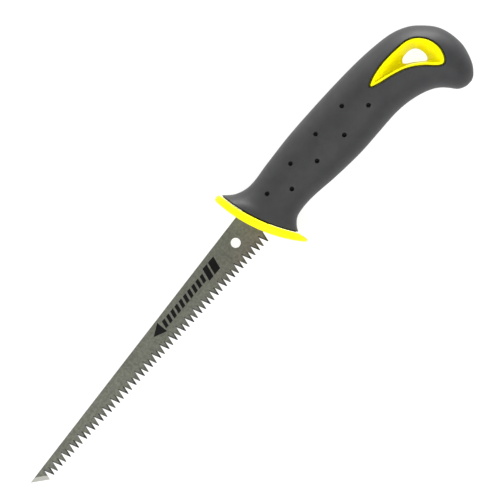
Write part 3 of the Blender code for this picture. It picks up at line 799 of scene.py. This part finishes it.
def handle_skin(inset, last_section):
    """The place of a point on the handle's form, moved in from its surface by the inset."""

    def place(along, around):
        row = curve_point(SECTION_ROWS, False, along * last_section)
        outer, inner, half_depth = Vector(row[0:2]), Vector(row[2:4]), row[4] - inset
        across = (outer - inner) / 2
        reach = across.normalized() * (across.length - inset)
        angle = math.tau * around
        in_plane = (outer + inner) / 2 + reach * squarish(math.cos(angle))
        return Vector((*in_plane, half_depth * squarish(math.sin(angle))))

    return place


def surface_height(surface, place):
    """How high a form's left face stands over a place on the drawing."""
    above = Vector((place.x, place.y, ABOVE_ALL))
    return surface.ray_cast(above, Vector((0.0, 0.0, -1.0)))[0].z


GRIP_ROWS, GRIP_COLUMNS = 190, 112
skin = bmesh.new()
wrapped_sheet(skin, GRIP_ROWS, GRIP_COLUMNS, handle_skin(0.0, len(SECTION_ROWS) - 1))
close_seams(skin)
for vert in skin.verts:
    vert.co.x = min(vert.co.x, HANDLE_REACH)
grip_surface = BVHTree.FromBMesh(skin)
print("skin:", len(skin.faces), "faces; height over the middle:",
      round(surface_height(grip_surface, Vector((60.0, 0.0))), 2))

# %% [markdown]
# The front of the grip sits against the guard's bent back. It could be cut with a curved tool, but
# with the whole skin unbent that face is flat, and one bisect_plane cuts it. The open edge is then
# rolled inwards in a few short extrusions, because a real moulded edge is never knife-sharp. A
# small rebate after it makes the dark line between the two plastics; its faces are painted shade.

# %% Cut and roll the front edge
GUARD_GAP = 0.3
SHADOW_GAP = 0.62
REBATE_DEPTH = 0.5
RIM_ROLL = 0.25
ROLL_STEPS = 4


def cut_front(shape, faces, gap):
    edges = {edge for face in faces for edge in face.edges}
    verts = {vert for face in faces for vert in face.verts}
    bmesh.ops.bisect_plane(
        shape, geom=[*verts, *edges, *faces], plane_co=(-gap, 0.0, 0.0), plane_no=(1.0, 0.0, 0.0),
        clear_outer=True,
    )


def step_edge(shape, edges, forwards, inwards, surface=0):
    """Extrudes an open oval edge so far forwards and so far inwards."""
    made = bmesh.ops.extrude_edge_only(shape, edges=edges)["geom"]
    verts = [item for item in made if isinstance(item, bmesh.types.BMVert)]
    runs = [vert.co.y for vert in verts]
    middle = (max(runs) + min(runs)) / 2
    half_run = (max(runs) - min(runs)) / 2
    half_out = max(vert.co.z for vert in verts)
    for vert in verts:
        vert.co.x += forwards
        vert.co.y = middle + (vert.co.y - middle) * (1 - inwards / half_run)
        vert.co.z *= 1 - inwards / half_out
    for face in [item for item in made if isinstance(item, bmesh.types.BMFace)]:
        face.material_index = surface
    return [item for item in made if isinstance(item, bmesh.types.BMEdge)]


def roll_edge(shape, radius, steps):
    """Rolls the open edge through a quarter turn and steps it in to a groove painted dark as shade.
    """
    edges = [edge for edge in shape.edges if edge.is_boundary]
    for step in range(steps):
        turn, next_turn = (math.pi / 2 * (step + more) / steps for more in (0, 1))
        forwards = radius * (math.sin(next_turn) - math.sin(turn))
        inwards = radius * (math.cos(turn) - math.cos(next_turn))
        edges = step_edge(shape, edges, forwards, inwards)
    # The rebate's faces take slot 1, the recess material, which is painted shade.
    edges = step_edge(shape, edges, 0.0, REBATE_DEPTH, 1)
    step_edge(shape, edges, SHADOW_GAP - GUARD_GAP, 0.0, 1)


at_butt = [edge for edge in skin.edges if edge.verts[0].co.x > ARC_CENTRE.x]
end_cap = [edge for edge in at_butt if edge.is_boundary]
bmesh.ops.contextual_create(skin, geom=end_cap)
for vert in skin.verts:
    vert.co = unbent(vert.co)
cut_front(skin, list(skin.faces), SHADOW_GAP + RIM_ROLL)
roll_edge(skin, RIM_ROLL, ROLL_STEPS)
print("front edge:", sum(edge.is_boundary for edge in skin.edges), "edges")

# %% [markdown]
# The grip is a skin over a hard core, so it is hollow. Solidify could give it a wall, but the core
# has an end of its own in the butt. So the inner wall is the same form once more, moved in by the
# wall's thickness and wrapped over fewer sections.

# %% The inner wall
CORE_ROWS, CORE_COLUMNS = 60, 48
CORE_END_ROUNDING = 2.0
outer_faces = set(skin.faces)
lining = handle_skin(GRIP_WALL, LAST_CORE_SECTION)
wrapped_sheet(skin, CORE_ROWS, CORE_COLUMNS, lambda along, around: unbent(lining(along, around)))
inner_faces = [face for face in skin.faces if face not in outer_faces]
inner_verts = {vert for face in inner_faces for vert in face.verts}
bmesh.ops.remove_doubles(skin, verts=list(inner_verts), dist=SEAM_GAP)
inner_faces = [face for face in skin.faces if face not in outer_faces]
core_end = [
    edge for face in inner_faces for edge in face.edges
    if edge.is_boundary and edge.verts[0].co.x < -2 * GRIP_WALL
]
print("inner wall:", len(inner_faces), "faces, open at the end by", len(core_end), "edges")

# %% [markdown]
# The open end in the butt is extruded once, a little smaller and further on, and then filled, which
# leaves a blunt end with a slanted rim. The front of the inner wall is cut like the outer one, and
# with both fronts open, one bridge joins them. Last, the whole skin is bent back.

# %% Close the skin
blunt = bmesh.ops.extrude_edge_only(skin, edges=core_end)["geom"]
end_verts = [item for item in blunt if isinstance(item, bmesh.types.BMVert)]
end_middle = sum((bent(*vert.co) for vert in end_verts), Vector()) / len(end_verts)
last_row = HANDLE_SECTIONS[LAST_CORE_SECTION]
across = (Vector(last_row[0:2]) - Vector(last_row[2:4])).normalized()
onwards = Vector((across.y, -across.x, 0.0)) * (CORE_END_ROUNDING + GUARD_GAP)
for vert in end_verts:
    from_middle = bent(*vert.co) - end_middle
    shrunk = from_middle * (1 - CORE_END_ROUNDING / from_middle.length)
    vert.co = unbent(end_middle + shrunk + onwards)
end_edges = [item for item in blunt if isinstance(item, bmesh.types.BMEdge)]
bmesh.ops.contextual_create(skin, geom=end_edges)
inner_faces = [face for face in skin.faces if face not in outer_faces]
cut_front(skin, inner_faces, GUARD_GAP)
bmesh.ops.bridge_loops(skin, edges=[edge for edge in skin.edges if edge.is_boundary])
for vert in skin.verts:
    vert.co = bent(*vert.co)
bmesh.ops.recalc_face_normals(skin, faces=skin.faces)
open_edges = sum(not edge.is_manifold for edge in skin.edges)
print("grip skin:", len(skin.faces), "faces,", open_edges, "open edges")
grip = add_piece("soft_grip", skin, "dark_soft_plastic", grip_rubber, painted_shade_rubber)
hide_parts("grip")

# %% [markdown]
# The hang hole is a slanted teardrop through the butt. A plain cut would leave a knife edge, so the
# cutter itself has flared lips: near each face it widens along a quarter circle until it leaves the
# surface almost flat. Cutting with it rounds the edge in the same step.

# %% The hang hole's outlines
HANG_HOLE_MOUTH = (
    (84.3, 0.7), (89.0, 2.4), (96.0, 3.0), (104.0, 2.4), (110.5, 1.1), (114.3, -1.6), (116.8, -6.0),
    (117.2, -11.3), (115.4, -15.9), (113.2, -17.5), (110.9, -16.1), (106.6, -10.9), (101.1, -6.4),
    (94.0, -3.2), (88.0, -1.2),
)
HANG_HOLE_WAIST = (
    (102.0, -3.6), (103.4, -2.1), (106.2, -1.7), (108.7, -2.1), (110.8, -3.2), (111.9, -5.1),
    (112.3, -7.4), (111.9, -9.7), (110.8, -11.3), (109.3, -10.9), (106.8, -8.5), (104.4, -6.4),
    (102.6, -4.9),
)
HOLE_POINTS = 160
mouth = even_loop(HANG_HOLE_MOUTH, HOLE_POINTS)
waist = even_loop(HANG_HOLE_WAIST, HOLE_POINTS)


def levels_sheet(shape, levels):
    """Wraps a sheet over rings of points, one ring for each level."""
    rows, columns = len(levels) - 1, len(levels[0])
    wrapped_sheet(
        shape, rows, columns,
        lambda along, around: levels[round(along * rows)][round(around * columns) % columns],
    )


def at_face(loop, side, depth):
    """A ring that follows the grip's face, so deep below it."""
    heights = [side * (surface_height(grip_surface, point) - depth) for point in loop]
    return [Vector((*point, height)) for point, height in zip(loop, heights)]


def at_depth(loop, depth):
    return [Vector((*point, depth)) for point in loop]


for name, loop in (("mouth", mouth), ("waist", waist)):
    print(name, "from x =", round(min(point.x for point in loop), 1),
          "to", round(max(point.x for point in loop), 1))

# %% Cut the hang hole
LIP_ROUNDING = 0.4
LINER_GAP = 0.55
LIP_STEPS = 6
LIP_LAST_TURN = math.radians(75)
PAST_FACES = 20.0
flare = []
for step in range(LIP_STEPS + 1):
    turn = LIP_LAST_TURN * step / LIP_STEPS
    margin = LINER_GAP + LIP_ROUNDING * (1 - math.cos(turn))
    flare.append((margin, LIP_ROUNDING * (1 - math.sin(turn))))
last_margin, last_depth = flare[-1]
flare.append((last_margin + LIP_ROUNDING * math.sin(LIP_LAST_TURN),
              last_depth - LIP_ROUNDING * math.cos(LIP_LAST_TURN)))
upper = [at_face(grown(mouth, margin), 1, depth) for margin, depth in flare]
lower = [at_face(grown(mouth, margin), -1, depth) for margin, depth in flare]
widest = grown(mouth, flare[-1][0])
cutter = bmesh.new()
far_end, near_end = at_depth(widest, -PAST_FACES), at_depth(widest, PAST_FACES)
levels_sheet(cutter, [far_end, *reversed(lower), *upper, near_end])
bmesh.ops.remove_doubles(cutter, verts=cutter.verts, dist=SEAM_GAP)
bmesh.ops.holes_fill(cutter, edges=cutter.edges, sides=0)
bmesh.ops.recalc_face_normals(cutter, faces=cutter.faces)
# The cut faces, the rounded lips and the wall of the hole, get the recess material: painted shade.
carve(grip, cutter, surface=painted_shade_rubber)
print("grip with its hole:", len(grip.data.polygons), "faces")

# %% [markdown]
# Two staggered rows of dimples sit in each face. Each is cut with a small turned button whose rim
# flares like the lips of the hang hole, and which is tipped to stand square to the surface.

# %% Dimples
DIMPLE_PLACES = (
    (17.9, 5.1), (34.9, 5.8), (52.2, 5.7), (69.3, 4.8),
    (26.7, -2.0), (43.5, -2.5), (60.2, -4.4), (77.3, -4.1),
)
DIMPLE_STEPS = 24
DIMPLE_PROFILE = (
    (0.0, -1.5), (0.4, -1.45), (0.7, -1.25), (0.86, -0.9), (0.92, -0.4), (0.95, -0.15),
    (1.06, -0.04), (1.4, 0.1), (1.4, 0.6), (0.0, 0.6),
)
buttons = bmesh.new()
for place in DIMPLE_PLACES:
    for side in (1, -1):
        start = Vector((*place, ABOVE_ALL * side))
        spot, square, *_ = grip_surface.ray_cast(start, Vector((0.0, 0.0, -side)))
        square = square if square.z * side > 0 else -square
        tipped = square.to_track_quat("Z", "Y").to_matrix().to_4x4()
        add_turned(buttons, DIMPLE_PROFILE, Matrix.Translation(spot) @ tipped, DIMPLE_STEPS)
close_seams(buttons, 2 * SEAM_GAP)
# The dimples' walls and floors get the recess material, painted nearly black as shade.
carve(grip, buttons, surface=painted_shade_rubber)
shade(grip, 38)

# %% [markdown]
# ## The hang hole's liner
# The liner is a yellow funnel from each face to a narrow waist. Its section is one closed line: up
# the outside, over a rounded rim, down the funnel, past the waist and back again on the other side.
# Each point of that line becomes a ring, and one sheet is wrapped over all the rings.

# %% The liner
RIM_WIDTH = 0.9
RIM_SINK = 0.2
RIM_EDGE = 0.3
RIM_FLAT = 0.6
RIM_DROOP = 8
COLLAR = 1.5
WAIST_HALF_DEPTH = 1.5
FUNNEL_STEPS = 14
WAIST_NOSE = 0.35


def between_rings(first, second, t):
    return [a.lerp(b, t) for a, b in zip(first, second)]


def narrowed(side, depth, margin):
    """A ring inside the mouth, at the height of the grip's face over the mouth's own line."""
    heights = [point.z for point in at_face(mouth, side, depth)]
    return [Vector((*point, z)) for point, z in zip(grown(mouth, -margin), heights)]


def liner_side(side):
    """The rings of one side, from the collar out to the rim and in to the waist."""
    rings = [at_depth(mouth, side * WAIST_HALF_DEPTH)]
    for turn in (0, 30, 60, 90):
        angle = math.radians(turn)
        sunk = RIM_SINK + RIM_EDGE * (1 - math.sin(angle))
        rings.append(narrowed(side, sunk, RIM_EDGE * (1 - math.cos(angle))))
    rim = narrowed(side, RIM_SINK, RIM_WIDTH)
    narrow = at_depth(waist, side * WAIST_HALF_DEPTH)
    rings.append(between_rings(rings[-1], rim, RIM_FLAT))
    for step in range(FUNNEL_STEPS + 1):
        t = step / FUNNEL_STEPS
        ring = between_rings(rim, narrow, t)
        for point in ring:
            point.z -= side * RIM_EDGE * (1 - t) ** RIM_DROOP
        rings.append(ring)
    return rings


nose = at_depth(grown(waist, -WAIST_NOSE), 0.0)
upper, lower = liner_side(1), liner_side(-1)
collar = grown(mouth, COLLAR)
outside = [at_depth(collar, -WAIST_HALF_DEPTH), at_depth(collar, WAIST_HALF_DEPTH)]
levels = [*upper, nose, *reversed(lower), *outside, upper[0]]
funnel = bmesh.new()
levels_sheet(funnel, levels)
close_seams(funnel, 0.0002)
print("liner:", sum(not edge.is_manifold for edge in funnel.edges), "open edges")
liner = add_piece("hang_hole_funnel", funnel, "yellow_plastic", yellow_plastic)
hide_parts("hang_hole_liner")
shade(liner, 40)

# %% [markdown]
# ## The guard
# The guard is a thick oval plate, bent to an arc. It is made flat first: rings run out from the
# middle of the back, round the rim and in again to the middle of the front. Then every point is
# bent on to the arc. It thins towards its two ends, and the back of the lower lip leans away from
# the fingers.

# %% The guard's plate
GUARD_THICKNESS = 3.9
GUARD_END_THICKNESS = 3.3
THINNING = 1 - GUARD_END_THICKNESS / GUARD_THICKNESS
GUARD_TOP_HEIGHT, GUARD_BOTTOM_HEIGHT = 21.7, -20.9
GUARD_HALF_WIDTH = 14.0
RIM_ROUNDING = 1.3
RIM_STEPS = 6
FACE_SHARES = (0.0, 0.2, 0.4, 0.6, 0.8, 0.92)
LIP_START_HEIGHT = -17.0
LIP_RELIEF = 1.8
GUARD_COLUMNS = 120


def run_at(height):
    return BACK_RADIUS * math.asin((height - ARC_CENTRE.y) / BACK_RADIUS)


guard_top, guard_bottom = run_at(GUARD_TOP_HEIGHT), run_at(GUARD_BOTTOM_HEIGHT)
lip_start = run_at(LIP_START_HEIGHT)
guard_middle = (guard_top + guard_bottom) / 2
guard_half = (guard_top - guard_bottom) / 2
turns = [math.pi / 2 * step / RIM_STEPS for step in range(RIM_STEPS + 1)]
back_rim = [(1 - math.cos(turn), 1 - math.sin(turn)) for turn in turns]
back_rim = [(RIM_ROUNDING * height, RIM_ROUNDING * inset) for height, inset in back_rim]
front_rim = [(GUARD_THICKNESS - height, inset) for height, inset in reversed(back_rim)]


def guard_ring(height, inset, share=1.0):
    ring = []
    for column in range(GUARD_COLUMNS):
        angle = math.tau * column / GUARD_COLUMNS
        run = guard_middle + share * (guard_half - inset) * squarish(math.sin(angle))
        out = share * (GUARD_HALF_WIDTH - inset) * squarish(math.cos(angle))
        past_grip = max(0.0, (lip_start - run) / (lip_start - guard_bottom))
        relief = LIP_RELIEF * past_grip * (1 - height / GUARD_THICKNESS)
        thinner = height * (1 - THINNING * ((run - guard_middle) / guard_half) ** 2)
        ring.append(bent(thinner + relief, run, out))
    return ring


levels = [guard_ring(0.0, RIM_ROUNDING, share) for share in FACE_SHARES]
levels += [guard_ring(height, inset) for height, inset in [*back_rim, *front_rim]]
levels += [guard_ring(GUARD_THICKNESS, RIM_ROUNDING, share) for share in reversed(FACE_SHARES)]
plate = bmesh.new()
levels_sheet(plate, levels)
close_seams(plate, 0.001)
print("guard plate:", sum(not edge.is_manifold for edge in plate.edges), "open edges")
guard = add_piece("finger_guard", plate, "yellow_plastic", yellow_plastic)
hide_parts("guard")

# %% [markdown]
# Behind the plate a hollow spigot runs into the handle round the tang, and its lip keeps the guard
# from pulling out. In front there is a shallow seat for the heel of the blade. They are straight
# blocks, so joining and cutting them is the plainest way.

# %% The guard's spigot, slot and seat
TANG_MIDDLE = 2.0
TANG_WIDTH = 11.0
TANG_LOW, TANG_HIGH = TANG_MIDDLE - TANG_WIDTH / 2, TANG_MIDDLE + TANG_WIDTH / 2
BLADE_THICKNESS = 1.2
SPIGOT_END = 17.0
SPIGOT_HALF_DEPTH = 2.9
SPIGOT_WALL = 1.3
LIP_LENGTH = 3.0
LIP_HALF_DEPTH = 4.8
SEAT_FRONT = -10.0
SEAT_DEPTH = 1.8
HEEL_RADIUS = BACK_RADIUS + GUARD_THICKNESS - SEAT_DEPTH
HEEL_LOW, HEEL_HIGH = -8.8, 9.15


def block(x_range, y_range, half_depth):
    (x0, x1), (y0, y1) = x_range, y_range
    return prism(((x0, y0), (x1, y0), (x1, y1), (x0, y1)), -half_depth, half_depth)


def arc_x(height, radius):
    return ARC_CENTRE.x - math.sqrt(radius**2 - (height - ARC_CENTRE.y) ** 2)


def upright_arc(low, high, radius, steps=8):
    heights = [low + (high - low) * step / steps for step in range(steps + 1)]
    return [Vector((arc_x(height, radius), height)) for height in heights]


low, high = TANG_LOW - SPIGOT_WALL, TANG_HIGH + SPIGOT_WALL
spigot = upright_arc(low, high, BACK_RADIUS + GUARD_THICKNESS / 3)
spigot += [Vector((SPIGOT_END, high)), Vector((SPIGOT_END, low))]
carve(guard, prism(spigot, -SPIGOT_HALF_DEPTH, SPIGOT_HALF_DEPTH), "UNION")
carve(guard, block((SPIGOT_END - LIP_LENGTH, SPIGOT_END), (low, high), LIP_HALF_DEPTH), "UNION")
slot_half = BLADE_THICKNESS / 2 + GUARD_GAP
slot_span = (TANG_LOW - GUARD_GAP, TANG_HIGH + GUARD_GAP)
carve(guard, block((SEAT_FRONT, SPIGOT_END + 1.0), slot_span, slot_half))
low, high = HEEL_LOW - GUARD_GAP, HEEL_HIGH + GUARD_GAP
seat = upright_arc(low, high, HEEL_RADIUS)
seat += [Vector((SEAT_FRONT, high)), Vector((SEAT_FRONT, low))]
carve(guard, prism(seat, -slot_half, slot_half))
shade(guard, 40)

# %% [markdown]
# ## The blade
# The blade and its tang are one sheet, drawn as an outline. The teeth come in pairs with a deep and
# a shallow gullet between them, and every gullet is ground at a slant: its two sides are oblique
# facets that face the other way in the next gullet. So the outline differs a little between the
# two faces of the sheet. On the face where a tooth is narrow, its tip also sits lower.

# %% The blade's outline
POINT_SLANT = 6.6
TOOTH_PAIR = 5.465
DEEP_GULLET, SHALLOW_GULLET = 4.2, 3.5
DEEP_MOUTH = 3.0
GULLET_SKEW = 0.3
TIP_FLAT = 0.4
FLANK_SLOPE = DEEP_GULLET / (DEEP_MOUTH / 2)
ROOT_RISE = GULLET_SKEW * FLANK_SLOPE
TIP_DROP = 2 * ROOT_RISE
TANG_END = 78.0
TANG_END_WIDTH = 9.0


def half_width(x):
    return (BLADE_WIDTH + BLADE_TAPER * x) / 2


spine_start = BLADE_AXIS + half_width(0.0)
guard_front = arc_x(spine_start, BACK_RADIUS + GUARD_THICKNESS)
point_x = guard_front - BLADE_LENGTH
point_top = Vector((point_x, BLADE_AXIS + half_width(point_x)))
first_tip = point_x + POINT_SLANT
tooth_pairs = int((guard_front - first_tip) / TOOTH_PAIR) + 1


def toothed_edge(side):
    """The toothed edge on one face of the sheet, from the first tip to the heel."""
    found = []
    for pair in range(tooth_pairs):
        tip = first_tip + pair * TOOTH_PAIR
        next_tip = tip + DEEP_MOUTH
        shallow = (next_tip + tip + TOOTH_PAIR) / 2
        drop = 0.0 if side > 0 or not pair else TIP_DROP
        next_drop = TIP_DROP if side > 0 else 0.0
        half_flat = TIP_FLAT / 2
        for x, depth, skew in (
            (tip - (half_flat if pair else 0.0), drop, 0.0),
            (tip + half_flat, drop, 0.0),
            (tip + DEEP_MOUTH / 2, DEEP_GULLET + ROOT_RISE, GULLET_SKEW),
            (next_tip - half_flat, next_drop, 0.0),
            (next_tip + half_flat, next_drop, 0.0),
            (shallow, SHALLOW_GULLET + ROOT_RISE, -GULLET_SKEW),
        ):
            found.append(Vector((x + side * skew, BLADE_AXIS - half_width(x) + depth)))
    return found


def blade_outline(side):
    """One face's outline, from the point along the teeth, round the tang and back."""
    teeth = toothed_edge(side)
    heel = HEEL_RADIUS + GUARD_GAP
    end_low, end_high = TANG_MIDDLE - TANG_END_WIDTH / 2, TANG_MIDDLE + TANG_END_WIDTH / 2
    corner = TANG_END_WIDTH / 4
    return [
        point_top, *teeth, *upright_arc(teeth[-1].y, TANG_LOW, heel),
        Vector((TANG_END - corner, end_low)), Vector((TANG_END, end_low + corner)),
        Vector((TANG_END, end_high - corner)), Vector((TANG_END - corner, end_high)),
        *upright_arc(TANG_HIGH, spine_start, heel),
    ]


print(tooth_pairs, "pairs of teeth; the point is at x =", round(point_x, 2))

# %% [markdown]
# The outline of the right face is drawn out into a sheet, and the points of the left face then move
# to their own outline, which leans the walls of the gullets. Those walls get the ground steel. The
# long spine edges get a fine bevel, as a stamped sheet that has been tumbled does.

# %% The sheet
BLADE_HALF = BLADE_THICKNESS / 2
SPINE_BEVEL = 0.14
INTO_GUARD = 2.0
POINTS_PER_PAIR = 6
NEAR = 0.01
right_outline, left_outline = blade_outline(-1), blade_outline(1)
sheet = prism(right_outline, -BLADE_HALF, BLADE_HALF)
order = {vert: index for index, vert in enumerate(list(sheet.verts)[:len(right_outline)])}
for vert, index in order.items():
    joined = [edge.other_vert(vert) for edge in vert.link_edges]
    above = next(other for other in joined if other not in order)
    above.co.xy = left_outline[index]
for wall in sheet.faces:
    corners = [order[vert] for vert in wall.verts if vert in order]
    if corners and min(corners) >= 1 and max(corners) <= POINTS_PER_PAIR * tooth_pairs:
        wall.material_index = 1
spine_edges = [
    edge for edge in sheet.edges
    if abs(edge.verts[0].co.z - edge.verts[1].co.z) < NEAR
    and min(vert.co.y - BLADE_AXIS - half_width(vert.co.x) for vert in edge.verts) > -NEAR
    and max(vert.co.x for vert in edge.verts) < guard_front + INTO_GUARD
]
bmesh.ops.bevel(
    sheet, geom=spine_edges, offset=SPINE_BEVEL, offset_type="OFFSET", segments=2, profile=0.5,
    affect="EDGES", material=-1, clamp_overlap=True,
)
print("sheet:", len(sheet.faces), "faces,", len(spine_edges), "spine edges bevelled")

# %% [markdown]
# The slanted edge at the point is ground from both faces to a thin edge. A cut parallel to that
# edge marks where the grinding starts, and the points beyond it move towards the middle of the
# sheet. Last, the sheet is cut across into short strips, because one long face with many corners
# shades badly.

# %% Grind the point
GROUND_WIDTH = 2.0
EDGE_HALF_THICKNESS = 0.12
STRIP_LENGTH = 10.0
point_low = toothed_edge(1)[0]
edge_along = (point_low - point_top).normalized()
edge_inwards = Vector((-edge_along.y, edge_along.x))


def cut_across(place, direction):
    """Cuts the sheet along a plane and keeps both sides."""
    bmesh.ops.bisect_plane(
        sheet, geom=[*sheet.verts, *sheet.edges, *sheet.faces], dist=NEAR,
        plane_co=(*place, 0.0), plane_no=(*direction, 0.0),
    )


cut_across(point_top + edge_inwards * GROUND_WIDTH, edge_inwards)
for vert in sheet.verts:
    share = (vert.co.xy - point_top).dot(edge_inwards) / GROUND_WIDTH
    if share < 1:
        half = EDGE_HALF_THICKNESS + (BLADE_HALF - EDGE_HALF_THICKNESS) * share
        vert.co.z = math.copysign(min(abs(vert.co.z), half), vert.co.z)
for face in sheet.faces:
    if (face.calc_center_median().xy - point_top).dot(edge_inwards) < GROUND_WIDTH:
        face.material_index = 2
for strip in range(1, int((BLADE_LENGTH + TANG_END) / STRIP_LENGTH) + 1):
    cut_across((point_x + strip * STRIP_LENGTH, 0.0), (1.0, 0.0))
lean = math.degrees(math.atan2(edge_along.x, -edge_along.y))
print("ground edge leans", round(lean, 1), "degrees")

# %% [markdown]
# The round hole near the guard is drilled and countersunk a little on both faces, and the tang has
# a plain hole for each pin. The drill is a profile turned about an upright axis.

# %% Drill the blade
HOLE_DIAMETER = 4.5
HOLE_CHAMFER = 0.2
HOLE_FROM_GUARD = 8.7
HOLE_ABOVE_AXIS = 1.6
PIN_HOLE = 4.6
PIN_PLACES = ((23.4, 2.0), (60.0, 2.0))
PAST_SHEET = 1.0
blade = add_piece("blade_sheet", sheet, "blade_steel", blade_steel, tooth_steel, point_steel)
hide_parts("blade")


def drill(radius, chamfer, place, steps):
    """Cuts a round hole that widens at both faces of the sheet by the chamfer."""
    end = BLADE_HALF + PAST_SHEET
    half = [(radius, end)]
    if chamfer:
        half = [(radius, BLADE_HALF - chamfer), (radius + chamfer + PAST_SHEET, end)]
    lower = [(wide, -height) for wide, height in reversed(half)]
    tool = bmesh.new()
    profile = [(0.0, -end), *lower, *half, (0.0, end)]
    add_turned(tool, profile, Matrix.Translation((*place, 0.0)), steps)
    close_seams(tool)
    carve(blade, tool)


hole_place = (guard_front - HOLE_FROM_GUARD, BLADE_AXIS + HOLE_ABOVE_AXIS)
drill(HOLE_DIAMETER / 2, HOLE_CHAMFER, hole_place, 64)
for place in PIN_PLACES:
    drill(PIN_HOLE / 2, 0.0, place, 32)
shade(blade, 12)

# %% [markdown]
# ## The hidden pieces
# The core halves and the pins can't be seen. Their shapes are kept as they are, and each one gets
# the finish that it would have. The materials go into the pieces' own slots, and nothing is moved.

# %% Finishes for the hidden pieces
for node, surface in (
    ("core_left", core_plastic), ("core_right", core_plastic),
    ("tang_pin_front", pin_steel), ("tang_pin_rear", pin_steel),
):
    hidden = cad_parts[node]
    if not hidden.data.materials:
        hidden.data.materials.append(surface)
    for index in range(len(hidden.data.materials)):
        hidden.data.materials[index] = surface
    print(node, "gets", surface.name)

# %% [markdown]
# ## The floor
# The saw lies on a pale sheet over a light table, as for a catalogue: the sheet glows a little,
# so the holes show white and the shadows stay faint. It is large, so that its edge never
# shows, and its tone is slightly uneven, as paper's is.

# %% Floor
paper, graph, shader, where = new_material(
    "white_paper", Roughness=0.9, Specular_IOR_Level=0.0, Emission_Strength=0.83
)
tone = noise(graph, where, 3.0, 3.0)
lit = blend_colours(graph, tone, (0.28, 0.28, 0.28), (0.31, 0.31, 0.31))
glow = blend_colours(graph, tone, (0.98, 0.98, 0.98), (1.0, 1.0, 1.0))
drive(graph, lit, shader, "Base Color")
drive(graph, glow, shader, "Emission Color")
ground = bmesh.new()
bmesh.ops.create_grid(ground, x_segments=8, y_segments=8, size=6.0)
floor_mesh = bpy.data.meshes.new("floor_sheet")
ground.to_mesh(floor_mesh)
ground.free()
floor_mesh.materials.append(paper)
floor = bpy.data.objects.new("floor_sheet", floor_mesh)
bpy.context.scene.collection.objects.link(floor)
floor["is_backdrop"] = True
print("floor:", [round(side, 1) for side in floor.dimensions])

# %% [markdown]
# ## Sizes
# The made pieces must fill the same box as the model that they replace.

# %% Write the sizes
visual_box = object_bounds()
for low, high in zip(*visual_box):
    print("from", round(low / MM, 2), "to", round(high / MM, 2), "mm")
